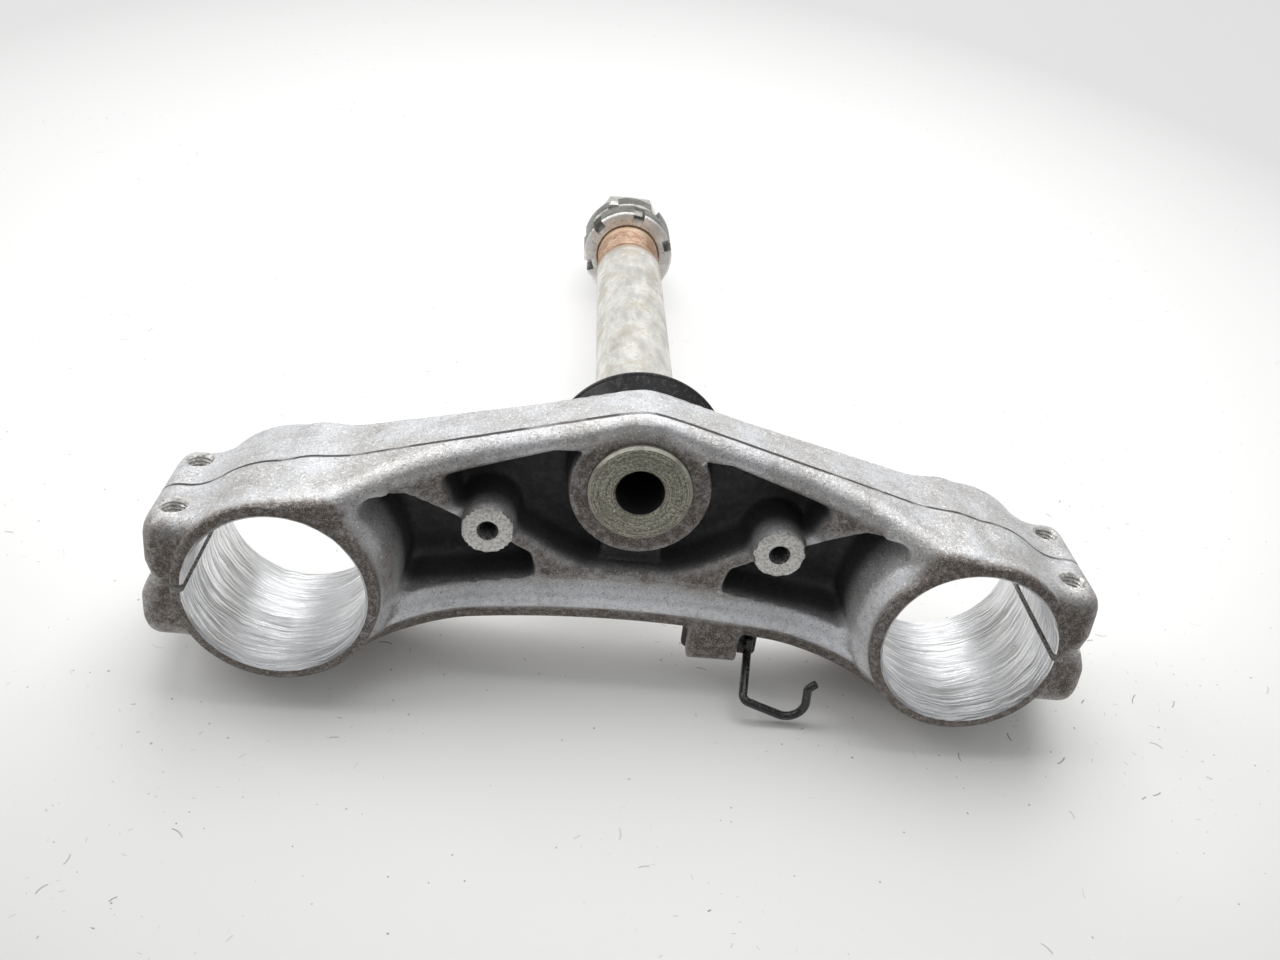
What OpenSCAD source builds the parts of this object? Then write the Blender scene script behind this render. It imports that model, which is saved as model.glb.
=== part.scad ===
// Lower fork yoke of a motorcycle with its steering stem, lying on its two
// fork rings and on the nut stack. Lengths are in millimetres. Every sub-part
// is drawn in the yoke's own axes: origin on the stem axis in the plane of the
// rings' lower rims, +z up the stem, +y towards the front wheel. lay_down()
// then turns all of them into the lying pose with the floor at z = 0.

/* [Fork rings] */
// distance between the two fork axes
fork_spacing = 210; // [196:0.5:224]
// fork axes forward of the stem axis
fork_offset = 34.1; // [31:0.1:37]
// diameter of the bored seat for the fork tube
fork_bore = 53; // [50:0.1:54]
// ring wall outside the bore at both rims
ring_wall = 4; // [3.5:0.1:5]
// extra wall at the parting line of the casting
ring_draft = 1.5; // [0.5:0.1:2]
// level of the parting line
parting = 25; // [24:0.5:27]
// height of the rings along the fork
ring_height = 53.5; // [50:0.5:58]
// chamfer at both mouths of the bore
bore_chamfer = 0.8; // [0.3:0.1:1.5]

/* [Pinch lugs] */
// metal of a lug outboard of its pinch bolts
lug_edge = 11.5; // [10.5:0.1:13]
// rear face of the threaded lug
lug_rear = 13.4; // [12:0.1:15]
// front face of the lug under the bolt heads
lug_front = 55; // [52:0.5:57]
// lower end of the lugs above the lower rim
lug_low = 3; // [1:0.5:5]
// upper end of the lugs below the upper rim
lug_drop = 3.5; // [2:0.5:5]
// corner radius of the lugs
lug_round = 7; // [4:0.5:8]
// depth of the waist between the two lugs
waist_depth = 5.5; // [3.5:0.5:6]
// threaded lug shorter than the lug under the bolt heads
lug_trim = 3; // [1:0.1:3.5]
// width of the pinch slit
slit_width = 2.5; // [2:0.1:3]
// pinch bolt axes outboard of the fork bore
pinch_gap = 5; // [4.8:0.1:6.5]
// lower pinch bolt above the lug's lower end
pinch_rise = 9.8; // [9:0.1:11]
// upper pinch bolt below the lug's upper end
pinch_fall = 9; // [8.5:0.1:10]
// core diameter of the threaded pinch hole
pinch_core = 6.8; // [6.6:0.1:7]
// clearance diameter for the pinch bolt
pinch_clear = 8.2; // [8.1:0.1:8.6]
// spot face under the bolt head, diameter
pinch_spot = 14; // [13:0.5:14]
// depth of the spot face
spot_depth = 6; // [4:0.5:8]

/* [Arms] */
// level of the upper side of the arms under the seal
arm_top = 42; // [40:0.5:44]
// climb of the upper side from the seal to the rings
arm_climb = 7; // [3:0.5:8]
// level of the underside between the small bosses
deck = 18.5; // [17:0.5:20]
// half length of the level part of the underside
deck_half = 48; // [44:1:50]
// power of the underside curve towards the rings
deck_power = 1.84; // [1.5:0.02:2.2]
// radius of the rear apex around the stem
apex_radius = 25; // [24:0.5:27]
// front wall on the centre line
front_edge = 49; // [48:0.2:50]
// radius of the hollow front wall
front_radius = 360; // [350:5:380]
// ridge between the level underside and the front bevel, on the centre line
front_ridge = 40.6; // [39.5:0.2:41.5]
// slope of the front bevel, degrees
bevel_angle = 22; // [16:1:26]
// thickness of the upper web above the pockets
web = 5; // [4:0.5:7]
// metal left around the rings at the pockets
pocket_ring_wall = 3.5; // [3:0.5:5]

/* [Bosses] */
// metal of the stem boss around the stem
boss_wall = 5.7; // [4.8:0.1:6.4]
// level of the stem boss face
boss_face = 21; // [20:0.5:22]
// small bosses beside the stem axis
lug_boss_x = 44.8; // [44:0.1:46]
// small bosses forward of the stem axis
lug_boss_y = 15.5; // [15:0.1:16.5]
// diameter of the small bosses
lug_boss = 16; // [15:0.5:17]
// level of the small boss faces
lug_boss_face = 16.5; // [15:0.5:18]
// core diameter of the threaded hole in a small boss
lug_core = 5; // [4.8:0.1:5.4]
// depth of the threaded hole in a small boss
lug_hole = 16; // [12:0.5:18]
// half width of the step in front of the stem boss
step_half = 9.6; // [8:0.5:11]
// level of the step in front of the stem boss
step_level = 27; // [25:0.5:30]

/* [Steering stop] */
// left side of the stop block
stop_left = 21.5; // [20:0.5:22]
// right side of the stop block
stop_right = 38; // [37:0.5:39]
// rear side of the stop block
stop_rear = 46; // [44:0.5:47]
// front side of the stop block
stop_front = 59.4; // [58:0.2:60]
// lower face of the stop block
stop_low = 19.5; // [18.5:0.5:20.5]
// upper face of the stop block
stop_high = 27; // [26:0.5:28]
// corner radius of the stop block
stop_round = 2.5; // [1:0.5:4]

/* [Steering stem] */
// pressed foot wider than the bearing seat, radially
foot_step = 0.9; // [0.6:0.1:1.2]
// level of the foot's lower end
foot_end = 19.2; // [18.5:0.1:20.5]
// radius of the lower bearing seat
seat_radius = 15; // [14.5:0.1:15.3]
// upper end of the bearing seat
seat_end = 60; // [58:1:64]
// tube thinner than the bearing seat, radially
tube_step = 1.3; // [0.8:0.1:1.6]
// lower end of the threaded band
thread_start = 213; // [205:1:220]
// threaded band thinner than the tube, radially
thread_step = 0.3; // [0.2:0.1:0.6]
// threaded end thinner than the threaded band, radially
end_step = 2.4; // [1.6:0.1:3]
// wall of the stem around its bore at the bearing seat
stem_wall = 7.5; // [7:0.1:8.5]
// chamfer at the stem's ends
stem_chamfer = 0.8; // [0.4:0.1:1.2]
// radial clearance at pressed and screwed fits
fit = 0.03; // [0.02:0.01:0.08]

/* [Seal and race] */
// seal wider than the race, radially
seal_lip = 7.5; // [6.5:0.1:8]
// thickness of the seal's flat part
seal_flat = 1.4; // [1:0.1:2]
// height of the seal over its lip
seal_height = 4.8; // [4:0.1:5.5]
// race wider than the bearing seat, radially
race_wall = 5.5; // [5:0.1:6]
// height of the race
race_height = 15.2; // [13:0.1:16]

/* [Nut stack] */
// lower face of the adjuster nut
stack_start = 237.5; // [236:0.5:240]
// thickness of the adjuster nut
adjuster_height = 11; // [10:0.1:12]
// thickness of the lock washer
washer_height = 1.2; // [1:0.1:1.5]
// thickness of the lock nut
lock_height = 10.3; // [10:0.1:11]
// slotted nuts wider than the threaded band, radially
nut_wall = 6.4; // [5.8:0.1:7]
// width of a nut slot
slot_width = 4.8; // [4.4:0.1:5.2]
// depth of a nut slot
slot_depth = 3.4; // [3:0.1:3.6]
// first slot of the adjuster nut, degrees
adjuster_turn = -80; // [-95:1:-65]
// first slot of the lock nut, degrees
lock_turn = -55; // [-60:1:-50]
// metal of the head nut around the threaded end, at the flats
head_wall = 5; // [4.5:0.1:6]
// thickness of the head nut
head_height = 14.5; // [13:0.5:16]
// length of stem end standing in the head nut
head_engage = 12.3; // [10:0.1:12.5]

/* [Hose guide] */
// thickness of the guide plate
plate = 1.6; // [1.4:0.1:2]
// left end of the guide plate
plate_left = 20.3; // [20:0.1:22]
// right end of the guide plate
plate_right = 45; // [44:0.5:46]
// rear edge of the guide plate at its right end
plate_rear = 52; // [51.9:0.1:52.4]
// rear edge of the guide plate at its left end
plate_rear_left = 50; // [49.8:0.1:50.4]
// front edge of the guide plate behind the block
plate_front = 60; // [59.5:0.1:60.5]
// front edge of the tab beside the block
tab_front = 61; // [60.5:0.1:62]
// left edge of the tab
tab_left = 39; // [38.5:0.5:40]
// diameter of the hook rod
rod = 2.8; // [2.4:0.1:3]
// rod under the tab, right of the stem axis
weld_x = 42.3; // [41.8:0.1:43]
// rear end of the rod under the tab
weld_y = 53.4; // [53.2:0.1:54]
// length of the rod before it turns down
rod_run = 5; // [4.6:0.1:5.6]
// level of the hook
hook_level = 8; // [7:0.1:9]
// left leg of the hook, right of the stem axis
leg_x = 40.1; // [39.5:0.1:41]
// left leg of the hook, forward of the stem axis
leg_y = 65.6; // [65:0.1:66.5]
// centre of the hook's bowl, right of the stem axis
bowl_x = 54.6; // [54:0.1:55.5]
// centre of the hook's bowl, forward of the stem axis
bowl_y = 64.6; // [64:0.1:65]
// radius of the hook's bowl
bowl_radius = 6; // [5.6:0.1:6.4]
// length of the hook's lip
lip_length = 4.7; // [4:0.1:5.2]
// length of the tip that is bent out
tip_length = 3.3; // [2.8:0.1:4]
// bend radius of the rod
rod_bend = 2.2; // [2:0.1:2.6]
// guide bolt beside the stem axis
bolt_x = 29; // [28:0.1:31]
// guide bolt forward of the stem axis
bolt_y = 54.8; // [54.6:0.1:55.4]
// diameter of the guide bolt's shank
bolt_shank = 5; // [4:0.5:5]
// width over flats of the guide bolt
bolt_flats = 8; // [7:0.5:8]
// height of the guide bolt's head
bolt_head = 3.8; // [3:0.1:5]
// depth of the bolt below the plate
bolt_depth = 5; // [4:0.1:5.5]

/* [Hidden] */
eps = 0.01;
fine = 96;
small = 48;
corner_steps = 5;
stem_bore = 2 * (seat_radius - stem_wall);
foot_radius = seat_radius + foot_step;
tube_radius = seat_radius - tube_step;
thread_radius = tube_radius - thread_step;
end_radius = thread_radius - end_step;
race_flange = seat_radius + race_wall;
seal_radius = race_flange + seal_lip;
boss_radius = foot_radius + boss_wall;
nut_radius = thread_radius + nut_wall;
head_flats = 2 * (end_radius + head_wall);
fork_x = fork_spacing / 2;
bore_radius = fork_bore / 2;
ring_radius = bore_radius + ring_wall;
ring_front = fork_offset + ring_radius;
pocket_floor = arm_top - web;
pinch_x = fork_x + bore_radius + pinch_gap;
lug_reach = pinch_x + lug_edge;
lug_high = ring_height - lug_drop;
pinch_low = lug_low + pinch_rise;
pinch_high = lug_high - pinch_fall;
front_join = fork_x - 9;
lug_boss_radius = lug_boss / 2;
stem_hole = foot_radius + fit;
boss_depth = arm_top + eps;
washer_start = stack_start + adjuster_height;
lock_start = washer_start + washer_height;
head_start = lock_start + lock_height;
head_top = head_start + head_height;
stem_top = head_start + head_engage;
head_corner = head_flats / 2 / cos(30);
head_bevel = head_flats / 2 - 0.4;
nut_hole = thread_radius + fit;
lean = atan((ring_front - nut_radius) / (head_start - ring_height));
lift = ring_front * cos(lean) + ring_height * sin(lean);
far_end = head_top * cos(lean) + head_bevel * sin(lean);
near_end = ring_front * sin(lean);
shift = (near_end - far_end) / 2;

// from the yoke's axes to the lying pose
module lay_down() {
    translate([0, shift, lift])
        rotate([-90 - lean, 0, 0])
            children();
}

// both sides of the yoke
module both_sides() {
    children();
    mirror([1, 0, 0])
        children();
}

function unit(v) = v / norm(v);

// points of an arc of radius r that rounds corner b between a and c
function corner_arc(a, b, c, r) =
    let (
        u = unit(a - b),
        w = unit(c - b),
        half = acos(u * w) / 2,
        centre = b + unit(u + w) * r / sin(half),
        start = b + u * r / tan(half) - centre,
        stop = b + w * r / tan(half) - centre,
        side = sign(start[0] * stop[1] - start[1] * stop[0]),
        turn = side * (180 - 2 * half)
    )
    [for (i = [0 : corner_steps])
        let (t = turn * i / corner_steps)
        centre + [start[0] * cos(t) - start[1] * sin(t), start[0] * sin(t) + start[1] * cos(t)]];

// closed outline with corner i rounded by radii[i]
function rounded(pts, radii) =
    let (n = len(pts))
    [for (i = [0 : n - 1])
        each corner_arc(pts[(i + n - 1) % n], pts[i], pts[(i + 1) % n], radii[i])];

// rectangle outline with equal rounded corners
function rounded_box(x0, y0, x1, y1, r) =
    rounded([[x0, y0], [x1, y0], [x1, y1], [x0, y1]], [r, r, r, r]);

// outline of both arms seen along the stem, before the front is hollowed
function arm_outline() =
    let (
        inset = 1,
        tangent_radius = ring_radius - inset,
        reach = norm([fork_x, fork_offset]),
        base = atan2(fork_offset, fork_x),
        normal = base - acos((apex_radius - tangent_radius) / reach),
        apex_steps = 6,
        n = [cos(normal), sin(normal)],
        rear = [fork_x, fork_offset] + n * tangent_radius
    )
    concat(
        [[-front_join, ring_front], [-front_join, fork_offset], [-rear[0], rear[1]]],
        [for (i = [0 : apex_steps])
            let (a = -180 - normal + (2 * normal + 180) * i / apex_steps)
            apex_radius * [cos(a), sin(a)]],
        [rear, [front_join, fork_offset], [front_join, ring_front]]
    );

// level of the underside at distance x from the centre line
function underside(x, run) =
    deck * (1 - pow(max(0, abs(x) - deck_half) / run, deck_power));

// metal under the arms that is left out, seen from the front
module under_cut(begin = deck_half) {
    run = 42;
    end = deck_half + run;
    steps = 7;
    rise = [for (i = [0 : steps]) begin + (end - begin) * i / steps];
    fall = [for (i = [0 : steps]) rise[steps - i]];
    rotate([90, 0, 0])
        linear_extrude(height = 4 * apex_radius + 4 * ring_radius, center = true)
            polygon(concat(
                [for (x = rise) [x, underside(x, run)]],
                [[end, -deck], [-end, -deck]],
                [for (x = fall) [-x, underside(x, run)]]
            ));
}

// space in front of the hollow front wall
module front_cut() {
    translate([0, front_edge + front_radius, -1])
        cylinder(h = arm_top + arm_climb + 2, r = front_radius, $fn = 4 * fine);
}

// space above the arms: level around the seal, then climbing to the rings
module climb_cut() {
    start = seal_radius + 4;
    climbed = arm_top + arm_climb;
    rotate([90, 0, 0])
        linear_extrude(height = 4 * apex_radius + 4 * ring_radius, center = true)
            polygon([
                [start, arm_top], [fork_x, climbed], [fork_x, climbed + arm_top],
                [-fork_x, climbed + arm_top], [-fork_x, climbed], [-start, arm_top]
            ]);
}

// sloping space under the front edge, in line with the underside
module bevel_cut() {
    translate([0, front_ridge, deck])
        rotate([bevel_angle, 0, 0])
            translate([0, -front_ridge, -deck])
                under_cut(deck_half - 2);
}

// pocket between the stem boss and the V ribs
module inner_pocket() {
    right = [[13.5, 28.9], [21.3, 26.1], [43, 14], [55, 11.6], [60.6, 0.6], [26.5, -11.6]];
    turns = [6, 8, 0.5, 2, 2.5, 2.5];
    last = len(right) - 1;
    outline = concat(right, [for (i = [0 : last]) [-right[last - i][0], right[last - i][1]]]);
    radii = concat(turns, [for (i = [0 : last]) turns[last - i]]);
    translate([0, 0, -1])
        linear_extrude(height = pocket_floor + 1)
            polygon(rounded(outline, radii));
}

// pocket between a V rib and the ring
module outer_pocket() {
    outline = [
        [29.6, 30.8], [36.5, 22.2], [43, 16], [54.4, 13.7], [70, 4.8],
        [80, 3.8], [90, 25], [76, 41.5], [60, 39.4], [33.5, 34.4]
    ];
    radii = [2.6, 1, 0.5, 0.5, 2.5, 3, 2, 3, 20, 2.6];
    difference() {
        translate([0, 0, -1])
            linear_extrude(height = pocket_floor + 1)
                polygon(rounded(outline, radii));
        translate([fork_x, fork_offset, -1])
            cylinder(h = ring_height, r = ring_radius + pocket_ring_wall, $fn = fine);
    }
}

// pair of pinch lugs of one ring
module lug_pair() {
    waist = lug_reach - waist_depth;
    half = waist_depth + slit_width;
    trimmed = lug_reach - lug_trim;
    outline = [
        [fork_x, lug_rear], [trimmed, lug_rear], [trimmed, fork_offset - half + lug_trim],
        [waist, fork_offset], [lug_reach, fork_offset + half], [lug_reach, lug_front], [fork_x, lug_front]
    ];
    radii = [1, lug_round, 2.5, 2, 2.5, lug_round, 1];
    intersection() {
        linear_extrude(height = ring_height)
            polygon(rounded(outline, radii));
        rotate([90, 0, 0])
            linear_extrude(height = 3 * lug_front, center = true)
                polygon(rounded_box(fork_x - 20, lug_low, lug_reach, lug_high, lug_round));
    }
}

// bolt path through both lugs at level z
module pinch_hole(z) {
    spot = lug_front - spot_depth;
    translate([pinch_x, 0, z])
        rotate([-90, 0, 0]) {
            cylinder(h = fork_offset, d = pinch_core, $fn = small);
            translate([0, 0, fork_offset])
                cylinder(h = spot, d = pinch_clear, $fn = small);
            translate([0, 0, spot])
                cylinder(h = ring_radius, d = pinch_spot, $fn = small);
        }
}

// ring wall, widest at the parting line
module ring_wall_body() {
    wide = ring_radius + ring_draft;
    translate([fork_x, fork_offset, 0])
        rotate_extrude($fn = fine)
            polygon([
                [0, 0],
                [ring_radius, 0],
                [wide, parting],
                [ring_radius, ring_height],
                [0, ring_height]
            ]);
}

// bore and slit of one ring
module ring_cut() {
    translate([fork_x, fork_offset, 0]) {
        translate([0, 0, -1])
            cylinder(h = ring_height + 2, r = bore_radius, $fn = fine);
        translate([0, 0, -eps])
            cylinder(h = bore_chamfer + eps, r1 = bore_radius + bore_chamfer, r2 = bore_radius, $fn = fine);
        translate([0, 0, ring_height - bore_chamfer])
            cylinder(h = bore_chamfer + eps, r1 = bore_radius, r2 = bore_radius + bore_chamfer, $fn = fine);
        translate([0, -slit_width / 2, -1])
            cube([lug_reach, slit_width, ring_height + 2]);
    }
}

module clamp_casting() {
    color([0.66, 0.67, 0.68])
        lay_down()
            difference() {
                union() {
                    difference() {
                        linear_extrude(height = arm_top + arm_climb)
                            polygon(arm_outline());
                        climb_cut();
                        front_cut();
                        under_cut();
                        bevel_cut();
                        inner_pocket();
                        both_sides()
                            outer_pocket();
                        translate([0, 0, -eps])
                            cylinder(h = boss_face, r = boss_radius, $fn = fine);
                    }
                    translate([0, 0, boss_face])
                        cylinder(h = arm_top - boss_face, r = boss_radius, $fn = fine);
                    translate([-step_half, boss_radius - web, step_level])
                        cube([2 * step_half, 3 * web, arm_top - step_level - eps]);
                    both_sides() {
                        translate([lug_boss_x, lug_boss_y, lug_boss_face])
                            cylinder(h = arm_top - lug_boss_face - eps, r = lug_boss_radius, $fn = small);
                        ring_wall_body();
                        lug_pair();
                    }
                    translate([0, 0, stop_low])
                        linear_extrude(height = stop_high - stop_low)
                            polygon(rounded_box(stop_left, stop_rear, stop_right, stop_front, stop_round));
                }
                both_sides() {
                    ring_cut();
                    pinch_hole(pinch_low);
                    pinch_hole(pinch_high);
                    translate([lug_boss_x, lug_boss_y, lug_boss_face - 1])
                        cylinder(h = lug_hole + 1, d = lug_core, $fn = small);
                }
                translate([0, 0, boss_face - 1])
                    cylinder(h = boss_depth, r = stem_hole, $fn = fine);
                translate([bolt_x, bolt_y, stop_high - bolt_depth - 1])
                    cylinder(h = bolt_depth + 2, d = bolt_shank + 2 * fit, $fn = small);
            }
}

module steering_stem() {
    groove = 1.5;
    core = tube_radius - 1;
    color([0.85, 0.83, 0.74])
        lay_down()
            rotate_extrude($fn = fine)
                polygon([
                    [stem_bore / 2, foot_end],
                    [foot_radius - stem_chamfer, foot_end],
                    [foot_radius, foot_end + stem_chamfer],
                    [foot_radius, arm_top],
                    [seat_radius, arm_top],
                    [seat_radius, seat_end],
                    [tube_radius, seat_end + groove],
                    [tube_radius, thread_start],
                    [core, thread_start],
                    [core, thread_start + groove],
                    [thread_radius, thread_start + groove],
                    [thread_radius, head_start],
                    [end_radius, head_start],
                    [end_radius, stem_top - stem_chamfer],
                    [end_radius - stem_chamfer, stem_top],
                    [stem_bore / 2, stem_top]
                ]);
}

module dust_seal() {
    bore = seat_radius + 0.2;
    inner = seal_radius - 4.5;
    thick = 1;
    color([0.05, 0.05, 0.05])
        lay_down()
            translate([0, 0, arm_top])
                rotate_extrude($fn = fine)
                    polygon([
                        [bore, 0],
                        [inner + thick, 0],
                        [seal_radius - thick, seal_height - 2 * thick],
                        [seal_radius, seal_height - thick / 2],
                        [seal_radius, seal_height],
                        [seal_radius - thick, seal_height],
                        [inner, seal_flat],
                        [bore, seal_flat]
                    ]);
}

module lower_bearing_race() {
    flange = 3;
    track = race_flange - 2.5;
    rim = track - 1.5;
    break_edge = 0.6;
    color([0.55, 0.55, 0.56])
        lay_down()
            translate([0, 0, arm_top + seal_flat])
                rotate_extrude($fn = fine)
                    polygon([
                        [seat_radius + fit, 0],
                        [race_flange - break_edge, 0],
                        [race_flange, break_edge],
                        [race_flange, flange],
                        [track, flange],
                        [rim, race_height],
                        [seat_radius + fit, race_height]
                    ]);
}

// six slots around a round nut, first one at angle turn
module nut_slots(turn, height) {
    for (i = [0 : 5])
        rotate([0, 0, turn + 60 * i])
            translate([nut_radius - slot_depth, -slot_width / 2, -1])
                cube([2 * slot_depth, slot_width, height + 2]);
}

// round nut with six slots
module slotted_nut(height, turn) {
    break_edge = 0.7;
    difference() {
        rotate_extrude($fn = fine)
            polygon([
                [nut_hole, 0],
                [nut_radius - break_edge, 0],
                [nut_radius, break_edge],
                [nut_radius, height],
                [nut_hole, height]
            ]);
        nut_slots(turn, height);
    }
}

module adjuster_nut() {
    color([0.72, 0.71, 0.69])
        lay_down()
            translate([0, 0, stack_start])
                slotted_nut(adjuster_height, adjuster_turn);
}

// tab of the lock washer bent along the stem from level z
module washer_tab(turn, z, height) {
    gap = 0.4;
    rotate([0, 0, turn])
        translate([nut_radius - slot_depth + fit, -slot_width / 2 + gap, z])
            cube([washer_height, slot_width - 2 * gap, height]);
}

module lock_washer() {
    tab = 7;
    bore = thread_radius + 0.2;
    rim = nut_radius - slot_depth + washer_height;
    color([0.62, 0.61, 0.6])
        lay_down()
            translate([0, 0, washer_start])
                union() {
                    difference() {
                        cylinder(h = washer_height, r = rim, $fn = fine);
                        translate([0, 0, -1])
                            cylinder(h = washer_height + 2, r = bore, $fn = fine);
                    }
                    for (i = [0 : 1]) {
                        washer_tab(adjuster_turn + 180 * i, -tab, tab + washer_height);
                        washer_tab(lock_turn + 120 * i, 0, tab + washer_height);
                    }
                }
}

module lock_nut() {
    color([0.42, 0.43, 0.42])
        lay_down()
            translate([0, 0, lock_start])
                slotted_nut(lock_height, lock_turn);
}

module stem_head_nut() {
    drop = 1.7;
    color([0.85, 0.85, 0.84])
        lay_down()
            translate([0, 0, head_start])
                difference() {
                    intersection() {
                        cylinder(h = head_height, r = head_corner, $fn = 6);
                        union() {
                            cylinder(h = head_height - drop, r = head_corner + 1, $fn = fine);
                            translate([0, 0, head_height - drop])
                                cylinder(h = drop, r1 = head_corner + 0.1, r2 = head_bevel, $fn = fine);
                        }
                    }
                    translate([0, 0, -1])
                        cylinder(h = head_height + 2, r = end_radius + fit, $fn = fine);
                }
}

module hose_guide_bracket() {
    outline = [
        [plate_left, plate_rear_left], [plate_right, plate_rear], [plate_right, tab_front],
        [tab_left, tab_front], [tab_left, plate_front], [plate_left, plate_front]
    ];
    radii = [2, 1, 1.5, 1, 1, 2];
    color([0.07, 0.07, 0.075])
        lay_down()
            translate([0, 0, stop_high])
                difference() {
                    linear_extrude(height = plate)
                        polygon(rounded(outline, radii));
                    translate([bolt_x, bolt_y, -1])
                        cylinder(h = plate + 2, d = bolt_shank + 0.4, $fn = small);
                }
}

// rod centre line: along the tab, down to the hook level, then the hook
function rod_line() =
    let (
        top = stop_high - rod / 2,
        start = [weld_x, weld_y, top],
        knee = [weld_x, weld_y + rod_run, top],
        foot = [leg_x, leg_y, hook_level],
        bowl = [bowl_x, bowl_y, hook_level],
        entry = bowl + bowl_radius * [cos(130), sin(130), 0],
        leave = bowl + bowl_radius * [1, -0.12, 0],
        lip = leave + lip_length * [-0.08, -0.997, 0],
        tip = lip + tip_length * [0.737, -0.676, 0]
    )
    concat(
        [start],
        corner_line(start, knee, foot, rod_bend),
        corner_line(knee, foot, entry, rod_bend),
        [for (a = [115 : -22 : 5]) bowl + bowl_radius * [cos(a), sin(a), 0]],
        corner_line(leave, lip, tip, rod_bend),
        [tip]
    );

// points of an arc in space that rounds corner b
function corner_line(a, b, c, r) =
    let (
        u = unit(a - b),
        w = unit(c - b),
        half = acos(u * w) / 2,
        centre = b + unit(u + w) * r / sin(half),
        x = unit(b + u * r / tan(half) - centre),
        z = unit(cross(u, w)),
        y = cross(z, x),
        turn = -(180 - 2 * half)
    )
    [for (i = [0 : 4])
        let (t = turn * i / 4)
        centre + r * (x * cos(t) + y * sin(t))];

// round rod along a line of points
module round_rod(line, r) {
    sides = 12;
    count = len(line);
    ring = [for (i = [0 : count - 1])
        let (
            t = unit(line[min(i + 1, count - 1)] - line[max(i - 1, 0)]),
            e = unit(cross(t, [0, 0, 1])),
            f = cross(e, t)
        )
        for (k = [0 : sides - 1])
            line[i] + r * (e * cos(360 * k / sides) + f * sin(360 * k / sides))];
    walls = [for (i = [0 : count - 2])
        for (k = [0 : sides - 1])
            let (
                a = i * sides + k,
                b = i * sides + (k + 1) % sides
            )
            [a, b, b + sides, a + sides]];
    polyhedron(
        points = ring,
        faces = concat(
            [[for (k = [0 : sides - 1]) sides - 1 - k]],
            walls,
            [[for (k = [0 : sides - 1]) (count - 1) * sides + k]]
        )
    );
}

module hose_guide_rod() {
    bead = 0.6;
    color([0.06, 0.06, 0.065])
        lay_down()
            union() {
                round_rod(rod_line(), rod / 2);
                translate([weld_x - rod / 2, weld_y + bead, stop_high - bead])
                    cube([rod, rod_run - 2 * bead, bead]);
            }
}

module hose_guide_bolt() {
    color([0.3, 0.3, 0.31])
        lay_down()
            union() {
                translate([bolt_x, bolt_y, stop_high + plate])
                    cylinder(h = bolt_head, r = bolt_flats / 2 / cos(30), $fn = 6);
                translate([bolt_x, bolt_y, stop_high - bolt_depth])
                    cylinder(h = bolt_depth + plate + eps, d = bolt_shank, $fn = small);
            }
}

clamp_casting();
steering_stem();
dust_seal();
lower_bearing_race();
adjuster_nut();
lock_washer();
lock_nut();
stem_head_nut();
hose_guide_bracket();
hose_guide_rod();
hose_guide_bolt();
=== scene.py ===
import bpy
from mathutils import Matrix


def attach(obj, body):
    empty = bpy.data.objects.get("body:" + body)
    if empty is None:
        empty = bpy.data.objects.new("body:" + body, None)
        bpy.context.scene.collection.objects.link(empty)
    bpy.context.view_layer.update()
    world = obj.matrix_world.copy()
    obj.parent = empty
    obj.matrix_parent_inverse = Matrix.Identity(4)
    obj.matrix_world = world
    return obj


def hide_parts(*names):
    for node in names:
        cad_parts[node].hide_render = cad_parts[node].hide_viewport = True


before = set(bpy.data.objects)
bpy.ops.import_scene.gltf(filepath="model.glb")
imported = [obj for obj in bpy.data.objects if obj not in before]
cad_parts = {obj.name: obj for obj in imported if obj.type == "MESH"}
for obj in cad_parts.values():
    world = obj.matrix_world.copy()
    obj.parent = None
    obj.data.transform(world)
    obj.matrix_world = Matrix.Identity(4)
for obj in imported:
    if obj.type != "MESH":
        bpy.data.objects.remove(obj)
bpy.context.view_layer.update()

# The photographer's camera: a 36 mm lens close over the underside of the yoke. It is
# placed in the yoke's own axes in mm (origin on the stem axis at the lower rims, z up the
# stem, y to the front wheel) and laid down with them onto ring rims and lock nut.
import math

import bpy
import numpy as np
from mathutils import Matrix, Vector

scene = bpy.context.scene
scene.view_settings.view_transform = "Standard"
RING_FRONT, RING_TALL = 64.6, 53.5
NUT_RADIUS, HEAD_START, HEAD_TOP, HEAD_CROWN = 19.8, 260.0, 274.5, 15.6
LEAN = math.atan((RING_FRONT - NUT_RADIUS) / (HEAD_START - RING_TALL))
LEAN_C, LEAN_S = math.cos(LEAN), math.sin(LEAN)
LIFT = RING_FRONT * LEAN_C + RING_TALL * LEAN_S
SHIFT = (RING_FRONT * LEAN_S - HEAD_TOP * LEAN_C - HEAD_CROWN * LEAN_S) / 2
LYING = Matrix((
    (1, 0, 0, 0),
    (0, -LEAN_S, LEAN_C, SHIFT),
    (0, -LEAN_C, -LEAN_S, LIFT),
    (0, 0, 0, 1),
))
LAY = Matrix.Scale(0.001, 4) @ LYING

lens = bpy.data.cameras.new("camera")
lens.sensor_width = 36
lens.lens = 36.02
lens.clip_start = 0.01
camera = bpy.data.objects.new("camera", lens)
spin = LYING.to_3x3()
axis_right = spin @ Vector((0.9932, -0.1137, -0.0259))
axis_up = spin @ -Vector((0.0872, 0.8714, -0.4828))
axis_back = spin @ -Vector((0.0774, 0.4773, 0.8753))
aim = Matrix((axis_right, axis_up, axis_back)).transposed().to_quaternion()
stand = LAY @ Vector((-30.3, -187.6, -315.8))
camera.matrix_world = Matrix.Translation(stand) @ aim.to_matrix().to_4x4()
scene.collection.objects.link(camera)
scene.camera = camera


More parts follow.
